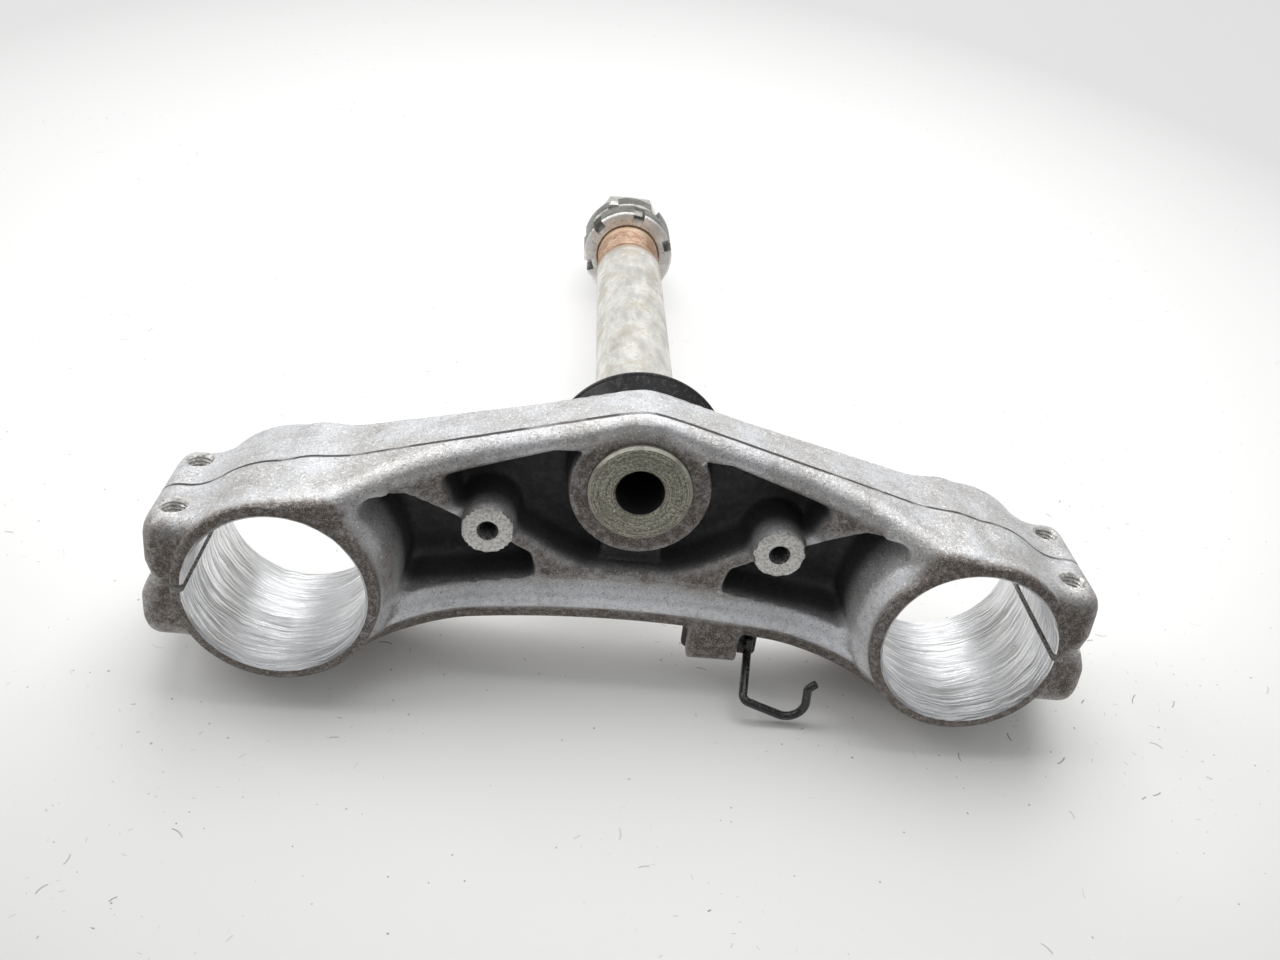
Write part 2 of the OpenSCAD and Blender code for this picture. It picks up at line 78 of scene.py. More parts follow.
# Floor: a large sheet of pale matt board with a few stray fibres and dust specks. Far
# from the camera it is burnt out to white, as in the photograph.
def put(tree, kind, setup, feeds):
    item = tree.nodes.new("ShaderNode" + kind)
    for key, value in setup.items():
        setattr(item, key, value)
    for key, value in feeds.items():
        if isinstance(value, bpy.types.NodeSocket):
            tree.links.new(value, item.inputs[key])
        else:
            item.inputs[key].default_value = value
    return item


def calc(tree, operation, a, b=0.0, clamp=False):
    return put(tree, "Math", {"operation": operation, "use_clamp": clamp}, {0: a, 1: b}).outputs[0]


def plus(tree, a, b):
    return calc(tree, "ADD", a, b)


def minus(tree, a, b):
    return calc(tree, "SUBTRACT", a, b)


def times(tree, a, b, clamp=False):
    return calc(tree, "MULTIPLY", a, b, clamp)


def split(tree, vector):
    return put(tree, "SeparateXYZ", {}, {0: vector}).outputs


def noise(tree, place, scale, detail=2.0, rough=0.5, bend=0.0):
    feeds = {"Vector": place, "Scale": scale, "Detail": detail, "Roughness": rough, "Distortion": bend}
    return put(tree, "TexNoise", {}, feeds).outputs["Fac"]


def ease(tree, value, low, high, to_low=0.0, to_high=1.0):
    feeds = {"Value": value, "From Min": low, "From Max": high, "To Min": to_low, "To Max": to_high}
    return put(tree, "MapRange", {"interpolation_type": "SMOOTHSTEP"}, feeds).outputs["Result"]


def blend(tree, share, a, b, mode="MIX"):
    setup = {"data_type": "RGBA", "blend_type": mode}
    return put(tree, "Mix", setup, {0: share, 6: a, 7: b}).outputs[2]


def stretch(tree, place, x, y, z):
    setup = {"operation": "MULTIPLY"}
    return put(tree, "VectorMath", setup, {0: place, 1: (x, y, z)}).outputs[0]


def effect(name, inputs, outputs):
    tree = bpy.data.node_groups.new(name, "ShaderNodeTree")
    for label, kind, value in inputs:
        feed = "NodeSocket" + kind
        socket = tree.interface.new_socket(name=label, in_out="INPUT", socket_type=feed)
        if value is not None:
            socket.default_value = value
    for label, kind in outputs:
        feed = "NodeSocket" + kind
        tree.interface.new_socket(name=label, in_out="OUTPUT", socket_type=feed)
    inner, outer = tree.nodes.new("NodeGroupInput"), tree.nodes.new("NodeGroupOutput")
    return tree, inner.outputs, outer.inputs


def use(tree, group, feeds):
    return put(tree, "Group", {"node_tree": group}, feeds).outputs


def blank(name):
    mat = bpy.data.materials.new(name)
    mat.use_nodes = True
    mat.node_tree.nodes.clear()
    return mat, mat.node_tree


def finish_with(tree, shader):
    tree.links.new(shader, put(tree, "OutputMaterial", {}, {}).inputs["Surface"])


def surface(tree, feeds):
    finish_with(tree, put(tree, "BsdfPrincipled", {}, feeds).outputs[0])


def link_mesh(name, verts, faces, crease=32):
    mesh = bpy.data.meshes.new(name)
    points = [tuple(map(float, v)) for v in verts]
    mesh.from_pydata(points, [], [tuple(map(int, f)) for f in faces])
    mesh.update()
    piece = bpy.data.objects.new(name, mesh)
    scene.collection.objects.link(piece)
    mesh.shade_smooth()
    mesh.set_sharp_from_angle(angle=math.radians(crease))
    return piece


def cells(tree, place, scale):
    feeds = {"Vector": place, "Scale": scale, "Randomness": 1.0}
    return put(tree, "TexVoronoi", {"feature": "F1"}, feeds).outputs


def scaled(tree, vector, factor):
    return put(tree, "VectorMath", {"operation": "SCALE"}, {0: vector, "Scale": factor}).outputs[0]


def stray_fibres():
    tree, ins, outs = effect(
        "stray_fibres", [("Place", "Vector", None), ("Scale", "Float", 60.0)], [("Mask", "Float")])
    cell = cells(tree, ins["Place"], ins["Scale"])
    home = scaled(tree, ins["Place"], ins["Scale"])
    seat = scaled(tree, cell["Position"], ins["Scale"])
    local = put(tree, "VectorMath", {"operation": "SUBTRACT"}, {0: home, 1: seat}).outputs[0]
    draw = split(tree, cell["Color"])
    turn = put(tree, "CombineXYZ", {}, {2: times(tree, draw[0], 6.283)}).outputs[0]
    setup = {"rotation_type": "EULER_XYZ"}
    spun = put(tree, "VectorRotate", setup, {"Vector": local, "Rotation": turn}).outputs[0]
    along = split(tree, spun)
    bow = times(tree, times(tree, along[0], along[0]), minus(tree, draw[2], 0.5))
    off = calc(tree, "ABSOLUTE", plus(tree, along[1], times(tree, bow, 2.5)))
    thin = ease(tree, off, 0.014, 0.032, 1.0, 0.0)
    half = times(tree, times(tree, draw[1], draw[1]), 0.24)
    past = minus(tree, calc(tree, "ABSOLUTE", along[0]), half)
    short = ease(tree, past, -0.02, 0.02, 1.0, 0.0)
    rare = calc(tree, "GREATER_THAN", draw[2], 0.78)
    tree.links.new(times(tree, times(tree, thin, short), rare), outs["Mask"])
    return tree


def dusty_board():
    mat, tree = blank("floor_board")
    place = put(tree, "TexCoord", {}, {}).outputs["Object"]
    tone = blend(tree, noise(tree, place, 7.0, 3.0), (0.845, 0.838, 0.822, 1), (0.875, 0.87, 0.855, 1))
    # the light falls off away from the middle
    away = put(tree, "VectorMath", {"operation": "DISTANCE"}, {0: place, 1: (0.03, 0.05, 0)})
    away = away.outputs["Value"]
    fade = minus(tree, 1.14, times(tree, times(tree, away, away), 3.6))
    fade = calc(tree, "MAXIMUM", calc(tree, "MINIMUM", fade, 1.0), 0.35)
    tone = blend(tree, 1.0, tone, fade, "MULTIPLY")
    # grains of dust, then long and short fibres in patches
    dust = cells(tree, place, 230.0)
    pick = split(tree, dust["Color"])
    grain = minus(tree, dust["Distance"], times(tree, pick[1], 0.09))
    grain = ease(tree, grain, -0.01, 0.015, 1.0, 0.0)
    grain = times(tree, grain, calc(tree, "LESS_THAN", pick[0], 0.55))
    tone = blend(tree, times(tree, grain, 0.6), tone, (0.15, 0.14, 0.12, 1))
    patchy = ease(tree, noise(tree, place, 9.0, 2.0), 0.42, 0.62)
    for where, scale, share, dark in (
        (place, 105.0, 0.8, (0.16, 0.15, 0.13, 1)),
        (stretch(tree, place, 1.3, 1.3, 1), 190.0, 0.6, (0.2, 0.17, 0.13, 1)),
    ):
        hairs = use(tree, fibres, {"Place": where, "Scale": scale})["Mask"]
        tone = blend(tree, times(tree, times(tree, hairs, patchy), share), tone, dark)
    matt = put(tree, "BsdfPrincipled", {}, {
        "Base Color": tone, "Roughness": 0.9, "Specular IOR Level": 0.15})
    # burnt out to white at the far side, for the camera and in reflections only
    ray = put(tree, "LightPath", {}, {}).outputs
    seen = calc(tree, "MAXIMUM", ray["Is Camera Ray"], ray["Is Glossy Ray"])
    seen = calc(tree, "MAXIMUM", seen, ray["Is Transmission Ray"])
    burnt = ease(tree, split(tree, place)[1], -0.10, 0.12, 0.0, 0.6)
    glow = put(tree, "Emission", {}, {"Color": (1, 1, 1, 1), "Strength": 1.0}).outputs[0]
    share = times(tree, seen, burnt)
    finish_with(tree, put(tree, "MixShader", {}, {0: share, 1: matt.outputs[0], 2: glow}).outputs[0])
    return mat


fibres = stray_fibres()
corners = [(-3, -3, 0), (3, -3, 0), (3, 4, 0), (-3, 4, 0)]
board = link_mesh("floor_board", corners, [(0, 1, 2, 3)])
board.data.materials.append(dusty_board())

# Light: a large soft box above and behind the yoke, a weaker one from the left, and the
# white room around them.
world = bpy.data.worlds.new("studio")
world.use_nodes = True
sky = world.node_tree
toward = split(sky, put(sky, "TexCoord", {}, {}).outputs["Generated"])
lean_up = plus(sky, times(sky, toward[2], 0.6), times(sky, toward[1], 0.4))
room = blend(sky, ease(sky, lean_up, -0.35, 0.62), (0.30, 0.30, 0.31, 1), (0.97, 0.985, 1.0, 1))
sky.links.new(room, sky.nodes["Background"].inputs["Color"])
sky.nodes["Background"].inputs["Strength"].default_value = 0.58
scene.world = world
for name, spot, target, size, power in (
    ("softbox_top", (0.06, 0.50, 0.98), (0, 0, 0), 1.1, 12.0),
    ("softbox_left", (-0.8, 0.1, 0.7), (0, 0, 0.03), 0.6, 3.5),
):
    lamp = bpy.data.lights.new(name, "AREA")
    lamp.shape = "SQUARE"
    lamp.size = size
    lamp.energy = power
    holder = bpy.data.objects.new(name, lamp)
    holder.location = spot
    holder.rotation_euler = (Vector(target) - Vector(spot)).to_track_quat("-Z", "Y").to_euler()
    scene.collection.objects.link(holder)

# Yoke casting: one aluminium casting with two split fork rings, ribbed arms, a stem boss
# and tapped bosses. It was cast in a two-part mould, which left the parting line, and was
# then bored, sawn through at the lugs, drilled and tapped.
RING_X, RING_Y, RING_WALL, BORE = 105.0, 34.1, 30.5, 26.5  # right ring: axis, radii
PARTING, POCKET_ROOF = 25.0, 37.0  # heights of the mould's parting and the pockets' ends
RAIL, SLIT = 8.4, 2.5  # widths of the front rail and the saw cut
PINCH_X, PINCH_Z, PINCH_CORE, PINCH_FREE = 136.5, (12.8, 41.0), 3.4, 4.1  # M8 bolt holes
SPOT_FACE, SPOT_FLOOR = 7.0, 49.0  # their spot faces: radius, and where they stand in y
BOSS_X, BOSS_Y, BOSS_FACE, BOSS_CORE = 44.8, 15.5, 16.5, 2.5  # small boss: axis, face, M6
STEM_SEAT, STEM_FACE = 15.93, 21.0  # stem boss: bore radius, face
STOP_X, STOP_Y, STOP_Z = 29.75, 51.0, 23.25  # middle of the steering stop


def join(a, b, k):  # union of two distance fields with a fillet of size k
    h = np.clip(0.5 + 0.5 * (b - a) / k, 0, 1)
    return b * (1 - h) + a * h - k * h * (1 - h)


def meet(a, b, k):  # what two fields share, with a rounding of size k
    return -join(-a, -b, k)


def rise(x, low, high):
    t = np.clip((x - low) / (high - low), 0, 1)
    return t * t * (3 - 2 * t)


def to_outline(x, y, pts):  # distance to a closed polygon, negative inside
    d, inside = None, None
    for (ax, ay), (bx, by) in zip(pts, pts[1:] + pts[:1]):
        ex, ey = bx - ax, by - ay
        wx, wy = x - ax, y - ay
        t = np.clip((wx * ex + wy * ey) / (ex * ex + ey * ey), 0, 1)
        q = (wx - t * ex) ** 2 + (wy - t * ey) ** 2
        d = q if d is None else np.minimum(d, q)
        cross = ((ay > y) != (by > y)) & (x < ex * (y - ay) / (ey if ey else 1e-9) + ax)
        inside = cross if inside is None else inside ^ cross
    return np.where(inside, -1, 1) * np.sqrt(d)


def rounded(points, radii, steps=5):  # polygon with an arc at each corner
    line = []
    for i, radius in enumerate(radii):
        b = Vector(points[i])
        u = (Vector(points[i - 1]) - b).normalized()
        w = (Vector(points[(i + 1) % len(points)]) - b).normalized()
        half = u.angle(w) / 2
        centre = b + (u + w).normalized() * radius / math.sin(half)
        start = b + u * radius / math.tan(half) - centre
        stop = b + w * radius / math.tan(half) - centre
        sweep = math.atan2(start.x * stop.y - start.y * stop.x, start.dot(stop))
        for k in range(steps + 1):
            t = sweep * k / steps
            line.append((centre.x + start.x * math.cos(t) - start.y * math.sin(t),
                         centre.y + start.x * math.sin(t) + start.y * math.cos(t)))
    return line


INNER_HALF = [(13.5, 28.9), (21.3, 26.1), (43, 14), (55, 11.6), (60.6, 0.6), (26.5, -11.6)]
INNER_TURNS = [6, 8, 0.5, 2, 3.2, 3.2]
INNER_POCKET = rounded(
    INNER_HALF + [(-x, y) for x, y in reversed(INNER_HALF)], INNER_TURNS + INNER_TURNS[::-1])
OUTER_POCKET = rounded(
    [(31.0, 24.8), (36.5, 22.2), (43, 16), (54.4, 13.7), (70, 4.8),
     (80, 3.8), (90, 25), (76, 41.5), (60, 39.4), (28.6, 34.0)],
    [3, 1.5, 0.5, 0.5, 3, 3, 2, 4, 20, 3.3])
LUG_PLAN = rounded(
    [(RING_X, 13.4), (145, 13.4), (145, 29.1), (142.5, RING_Y), (148, 42.1), (148, 55), (RING_X, 55)],
    [1, 7, 2.5, 2, 2.5, 7, 1])


def rear_edge(a):
    return -25.965 + 0.2803 * np.sqrt(a * a + 20)


def front_edge(a):
    return 409 - np.sqrt(360 ** 2 - a * a)


def pocket_at(x, y, z):
    a = np.abs(x)
    taper = 0.07 * (z - 18)
    outer = to_outline(a, y, OUTER_POCKET) + taper
    around = 34.6 + 0.05 * (z - 18) - np.hypot(a - RING_X, y - RING_Y)
    return to_outline(x, y, INNER_POCKET) + taper, meet(outer, around, 4.0)


def yoke_field(x, y, z):
    # how far outside the cast surface a point lies, in mm
    a = np.abs(x)
    from_stem, from_ring = np.hypot(x, y), np.hypot(a - RING_X, y - RING_Y)
    # arms: drafted walls, flat top, an underside that sweeps down to the rings
    draft = np.maximum((PARTING - z) * 0.045, (z - PARTING) * 0.02)
    walls = meet((rear_edge(a) - y) * 0.963, (y - front_edge(a)) * 0.97, 3.0) + draft
    walls = meet(walls, a - 99 - 7 * rise(y, 18, 8), 2.0)
    ridge = front_edge(a) - RAIL
    fall = np.maximum(y - ridge, 0)
    lines = 1.2 * np.exp(-((y - ridge + 0.2) / 1.6) ** 2) - 2.3 * np.exp(-((y - ridge + 6.8) / 3.6) ** 2)
    level = 18.5 * (1 - (np.clip((a - 48) / 42, 0, 1.3)) ** 1.84)
    under = level + fall * 0.404 - lines * rise(a, 88, 66)
    top = 42 + 7 * np.clip((a - 32) / 73, 0, 1)
    arm = meet(meet(walls, z - top, 1.2), under - z, 3.0 + 5.0 * rise(ridge - y, 12, 28))
    # rings: turned walls, widest at the parting line
    swell = np.clip(np.minimum(z / PARTING, (RING_TALL - z) / (RING_TALL - PARTING)), 0, 1)
    ring_blend = 9.5 * rise(a, 113, 97) * rise(z, -3, 9) * rise(y, 66, 50) + 0.3
    body = join(arm, from_ring - (RING_WALL + 1.5 * swell), ring_blend)
    # pockets between ribs that lie a little deeper than the rails
    inner, outer = pocket_at(x, y, z)
    bank = 0.45 * np.maximum(y - ridge + 9.0, join(rear_edge(a) + 4.6 - y, from_stem - 24.5, 5.0))
    bounds = np.maximum(a - 74, 35 - from_ring)
    sunk = np.minimum(20.2, level + 2.2) + 0.9 * rise(from_stem, 25, 22)
    recess = np.maximum(np.maximum(bank + 0.89 * (z - level), bounds), (z - sunk) * 0.9)
    body = meet(body, -recess, 2.0)
    body = meet(body, -meet(inner, z - POCKET_ROOF, 5.0), 1.9)
    body = meet(body, -meet(outer, z - POCKET_ROOF, 5.0), 1.3)
    # bosses standing in the pockets, and the step in front of the stem boss
    boss = np.maximum(from_stem - 21.6 - 0.04 * (z - STEM_FACE), z - 41)
    body = join(body, meet(boss, STEM_FACE - z, 0.9), 2.6 * rise(z, 20, 30) + 0.2)
    small = np.hypot(a - BOSS_X, y - BOSS_Y) - 8 - 0.05 * (z - BOSS_FACE)
    small = meet(np.maximum(small, z - 40), BOSS_FACE - z, 0.3)
    body = join(body, small, 2.4 * rise(z, 17, 24) + 0.2)
    shelf = meet(np.maximum(a - 9.6, np.abs(y - 25) - 9), np.maximum(27 - z, z - 41), 1.2)
    body = join(body, shelf, 1.6)
    # pinch lugs with a waist at the slit
    plan = to_outline(a, y, LUG_PLAN)
    wide, tall = np.maximum(np.abs(a - 125) - 14.5, 0), np.maximum(np.abs(z - 26.5) - 15.0, 0)
    lug = meet(plan, np.hypot(wide, tall) - 8.5, 6.0)
    body = join(body, lug, 5.0 * rise(z, 0, 8) * rise(z, 54, 46) + 0.3)
    # steering stop
    block = np.maximum(np.abs(x - STOP_X) - 8.25, np.abs(y - STOP_Y) - 8.4)
    block = meet(block, np.abs(z - STOP_Z) - 3.75, 1.6)
    body = join(body, block, 2.0 * rise(y, 56, 50) + 0.2)
    # rims faced off, with rounded outer edges
    return meet(meet(body, -z, 1.8), z - RING_TALL, 1.8)


def onto_field(field, p):  # one Newton step of each point towards the surface
    e = 0.15
    shift = np.eye(3) * e
    f = field(*p.T)
    g = np.stack([field(*(p + s).T) - field(*(p - s).T) for s in shift], axis=1) / (2 * e)
    move = g * (f / np.maximum((g * g).sum(axis=1), 0.25))[:, None]
    far = np.maximum(np.linalg.norm(move, axis=1), 1e-9)
    return p - move * np.minimum(1, 0.6 / far)[:, None]


def skin_of(field, low, high, step):  # surface net: one point per cell that is crossed
    axes = [np.arange(a, b + step, step) for a, b in zip(low, high)]
    mesh_axes = np.meshgrid(*axes, indexing="ij", sparse=True)
    v = np.ascontiguousarray(np.broadcast_to(field(*mesh_axes), [len(s) for s in axes]))
    grid = [np.broadcast_to(g, v.shape) for g in mesh_axes]
    cells = [n - 1 for n in v.shape]
    total, count = np.zeros(cells + [3]), np.zeros(cells)
    index = np.arange(np.prod(cells)).reshape(cells)
    quads = []
    for axis in range(3):
        one, two = [slice(None)] * 3, [slice(None)] * 3
        one[axis], two[axis] = slice(0, -1), slice(1, None)
        near, far = v[tuple(one)], v[tuple(two)]
        cut = np.argwhere((near < 0) != (far < 0))
        at = tuple(cut.T)
        spot = np.stack([g[tuple(one)][at] for g in grid], axis=1)
        spot[:, axis] += near[at] / (near[at] - far[at]) * step
        b, c = [i for i in range(3) if i != axis]
        ring = []
        for db, dc in ((-1, -1), (0, -1), (0, 0), (-1, 0)):
            cell = cut.copy()
            cell[:, b] += db
            cell[:, c] += dc
            np.add.at(total, tuple(cell.T), spot)
            np.add.at(count, tuple(cell.T), 1)
            ring.append(index[tuple(cell.T)])
        ring = np.stack(ring, axis=1)
        flip = (near[at] < 0) if axis != 1 else (near[at] > 0)
        ring[~flip] = ring[~flip][:, ::-1]
        quads.append(ring)
    used = count > 0
    renumber = -np.ones(count.shape, int)
    renumber[used] = np.arange(used.sum())
    verts = total[used] / count[used][:, None]
    for _ in range(3):
        verts = onto_field(field, verts)
    return verts, renumber.ravel()[np.concatenate(quads)]


# a turned piece from its (radius, height) profile; wave adds thread to the radius
def turned(name, profile, seg=96, wave=None, axis="z", at=(0, 0, 0), crease=32):
    turn = np.arange(seg) * 2 * math.pi / seg
    verts, rows = [], []
    for r, z in profile:
        if r < 1e-6:
            rows.append([len(verts)] * seg)
            verts.append((0, 0, z))
            continue
        rr = r + (wave(turn, r, z) if wave else 0 * turn)
        rows.append(list(range(len(verts), len(verts) + seg)))
        verts.extend(zip(rr * np.cos(turn), rr * np.sin(turn), [z] * seg))
    faces = []
    count = len(rows)
    for i in range(count - 1 if profile[0][0] < 1e-6 else count):
        a, b = rows[i], rows[(i + 1) % count]
        for k in range(seg):
            quad = list(dict.fromkeys((a[k], a[k - seg + 1], b[k - seg + 1], b[k])))
            if len(quad) > 2:
                faces.append(quad)
    verts = np.array(verts, float)
    if axis == "y":
        verts = np.stack([verts[:, 1], verts[:, 2], verts[:, 0]], axis=1)
    return link_mesh(name, verts + np.array(at, float), faces, crease)


def band(r, low, high, step):
    count = max(2, int(round((high - low) / step)) + 1)
    return [(r, z) for z in np.linspace(low, high, count)]


def screw(radius, low, high, pitch, deep):
    def wave(turn, r, z):
        if abs(r - radius) > 1e-4:
            return 0 * turn
        lap = (z / pitch - turn / (2 * math.pi)) % 1
        fade = min(1, max(0, (z - low) / pitch), max(0, (high - z) / pitch))
        return deep * fade * np.abs(2 * lap - 1)
    return wave


def box(name, low, high):
    pts = [(x, y, z) for z in (low[2], high[2]) for y in (low[1], high[1]) for x in (low[0], high[0])]
    faces = [(0, 2, 3, 1), (4, 5, 7, 6), (0, 1, 5, 4), (2, 6, 7, 3), (0, 4, 6, 2), (1, 3, 7, 5)]
    return link_mesh(name, pts, faces)


def merge(parts):
    verts, faces = [], []
    for part in parts:
        start = len(verts)
        verts.extend(tuple(v.co) for v in part.data.vertices)
        faces.extend([start + i for i in p.vertices] for p in part.data.polygons)
        drop(part)
    return link_mesh("tool", verts, faces)


def drop(piece):
    mesh = piece.data
    bpy.data.objects.remove(piece)
    bpy.data.meshes.remove(mesh)


def apply(piece, crease=32):
    bpy.context.view_layer.update()
    evaluated = piece.evaluated_get(bpy.context.evaluated_depsgraph_get())
    done = bpy.data.meshes.new_from_object(evaluated)
    old = piece.data
    piece.modifiers.clear()
    piece.data = done
    bpy.data.meshes.remove(old)
    done.shade_smooth()
    done.set_sharp_from_angle(angle=math.radians(crease))


def carve(piece, tools, operation="DIFFERENCE", crease=32):
    tool = merge(tools)
    mod = piece.modifiers.new("carve", "BOOLEAN")
    mod.operation = operation
    mod.object = tool
    mod.solver = "MANIFOLD"
    apply(piece, crease)
    piece.data.materials.clear()
    drop(tool)


def columns(mesh, label, size=3, of="vertices"):
    items = getattr(mesh, of)
    out = np.empty(len(items) * size)
    items.foreach_get(label, out)
    return out.reshape(-1, size) if size > 1 else out


def paint(mesh, label, values):
    kind = "FLOAT_VECTOR" if values.ndim > 1 else "FLOAT"
    layer = mesh.attributes.new(label, kind, "POINT")
    layer.data.foreach_set("vector" if values.ndim > 1 else "value", values.ravel())


def settle(piece, node):
    piece.data.transform(LAY)
    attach(piece, "root")
    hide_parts(node)


yoke = link_mesh("yoke_casting", *skin_of(yoke_field, (-151, -29, -2.6), (151, 69, 56), 1.22))
bore = [(0, -4), (31.3, -4)] + band(BORE, 0.8, 52.7, 4) + [(31.3, 57.5), (0, 57.5)]
tapped = [(0, 15.2), (4.6, 15.2)] + band(BOSS_CORE, 17.2, 30.5, 0.17) + [(BOSS_CORE, 32.5), (0, 34)]
boss_thread = screw(BOSS_CORE, 16.6, 30.5, 1.0, 0.5)
seat = [(0, 17), (19.4, 17), (STEM_SEAT, 21.3), (STEM_SEAT, 44), (0, 44)]
carve(yoke, [turned("bore", bore, 144, at=(s * RING_X, RING_Y, 0)) for s in (-1, 1)]
      + [turned("boss_hole", tapped, 40, boss_thread, at=(s * BOSS_X, BOSS_Y, 0)) for s in (-1, 1)]
      + [turned("stem_hole", seat, 96)])
near, far = RING_Y - SLIT / 2, RING_Y + SLIT / 2
carve(yoke, [box("slit", (s * 141 - 12, near, -6), (s * 141 + 12, far, 60)) for s in (-1, 1)])
pinch = [(0, 10.4), (7.2, 10.4)] + band(PINCH_CORE, 14.2, 33.0, 0.21)
pinch += [(PINCH_FREE, 33.0), (PINCH_FREE, SPOT_FLOOR), (SPOT_FACE, SPOT_FLOOR), (SPOT_FACE, 62), (0, 62)]
pinch_thread = screw(PINCH_CORE, 13.6, 33.0, 1.25, 0.62)
carve(yoke, [turned("pinch", pinch, 40, pinch_thread, "y", (s * PINCH_X, 0, z))
             for s in (-1, 1) for z in PINCH_Z])

# What the casting's look needs to know of its shape: hollows, crests, the depth of the
# pockets, and the unrolled place on the bores.
skin = columns(yoke.data, "co")
out = columns(yoke.data, "normal")
side, ahead, height = np.abs(skin[:, 0]), skin[:, 1], skin[:, 2]
hollow = np.mean([
    np.clip(1 - yoke_field(*(skin + out * d).T) / d, 0, 1) for d in (1.5, 4.0, 9.0)], axis=0)
crest = np.mean([
    np.clip(1 + yoke_field(*(skin - out * d).T) / d, 0, 1) for d in (0.8, 2.0)], axis=0)
pocket = np.minimum(*pocket_at(*skin.T))
deep = rise(pocket, 2.5, -0.5) * rise(height, 20.5, 27) * rise(height, 40.5, 38.5)
reach = np.stack([side - RING_X, ahead - RING_Y], axis=1)
from_ring = np.hypot(*reach.T)
wrap = np.arctan2(reach[:, 1], reach[:, 0]) % (2 * math.pi)
wrap = np.stack([wrap * BORE, height, np.sign(skin[:, 0]) * 40], axis=1)
paint(yoke.data, "yoke_cm", skin / 10)
paint(yoke.data, "hollow", hollow)
paint(yoke.data, "deep", deep)
paint(yoke.data, "wrap_cm", wrap / 10)

# Which metal each face shows: cast, bored, drilled or sawn, a boss's faced end, or the
# thread deep inside a boss, coloured near black as painted shade.
CAST, BORED, DRILLED, FACED, SHADED_THREAD = range(5)
mid = columns(yoke.data, "center", 3, "polygons")
a, y, z = np.abs(mid[:, 0]), mid[:, 1], mid[:, 2]
bored = np.hypot(a - RING_X, y - RING_Y) < BORE + 0.85
at_pinch = np.min([np.hypot(a - PINCH_X, z - h) for h in PINCH_Z], axis=0)
at_boss = np.hypot(a - BOSS_X, y - BOSS_Y)
spot_faced = (at_pinch < SPOT_FACE + 0.02) & (y > SPOT_FLOOR - 0.1)
drilled = (at_pinch < PINCH_FREE + 0.05) | spot_faced | ((at_pinch < 4.8) & (y < 14.3))
drilled &= a > 131
in_boss = at_boss < BOSS_CORE + 0.8
drilled |= in_boss & (z > 15) & (z < 35)
drilled |= (np.abs(y - RING_Y) < SLIT / 2 + 0.05) & (a > RING_X + BORE - 0.6)
metals = np.full(len(mid), CAST)
metals[(at_boss < 8.3) & (z < BOSS_FACE + 0.4)] = FACED
metals[bored] = BORED
metals[drilled] = DRILLED
metals[drilled & in_boss & (z > BOSS_FACE + 0.1)] = SHADED_THREAD


def speckle_effect():
    tree, ins, outs = effect("speckle", [
        ("Place", "Vector", None), ("Scale", "Float", 10.0), ("Low", "Float", 0.5), ("High", "Float", 0.6),
    ], [("Mask", "Float")])
    fine = noise(tree, ins["Place"], ins["Scale"], 4.0, 0.62)
    tree.links.new(ease(tree, fine, ins["Low"], ins["High"]), outs["Mask"])
    return tree


def spots_effect():
    tree, ins, outs = effect("spots", [
        ("Place", "Vector", None), ("Scale", "Float", 5.0), ("Size", "Float", 0.12),
        ("Share", "Float", 0.4),
    ], [("Mask", "Float")])
    feeds = {"Vector": ins["Place"], "Scale": 11.0, "Detail": 3.0}
    waver = put(tree, "TexNoise", {}, feeds).outputs["Color"]
    bent = put(tree, "VectorMath", {"operation": "ADD"}, {0: ins["Place"], 1: waver}).outputs[0]
    cell = cells(tree, bent, ins["Scale"])
    draw = split(tree, cell["Color"])
    size = times(tree, ins["Size"], plus(tree, draw[1], 0.3))
    near = ease(tree, minus(tree, cell["Distance"], size), -0.04, 0.04, 1.0, 0.0)
    mask = times(tree, near, calc(tree, "LESS_THAN", draw[0], ins["Share"]))
    tree.links.new(mask, outs["Mask"])
    return tree


speckle, spots = speckle_effect(), spots_effect()


def flecked(tree, place, scale, low, high):
    feeds = {"Place": place, "Scale": scale, "Low": low, "High": high}
    return use(tree, speckle, feeds)["Mask"]


def dotted(tree, place, scale, size, share):
    feeds = {"Place": place, "Scale": scale, "Size": size, "Share": share}
    return use(tree, spots, feeds)["Mask"]


def wash(tree, colour, mask, share, tint):
    return blend(tree, times(tree, mask, share), colour, tint)


def bump(tree, height, strength, distance):
    feeds = {"Height": height, "Strength": strength, "Distance": distance}
    return put(tree, "Bump", {}, feeds).outputs[0]


def attribute(tree, label, socket="Fac"):
    return put(tree, "Attribute", {"attribute_name": label}, {}).outputs[socket]


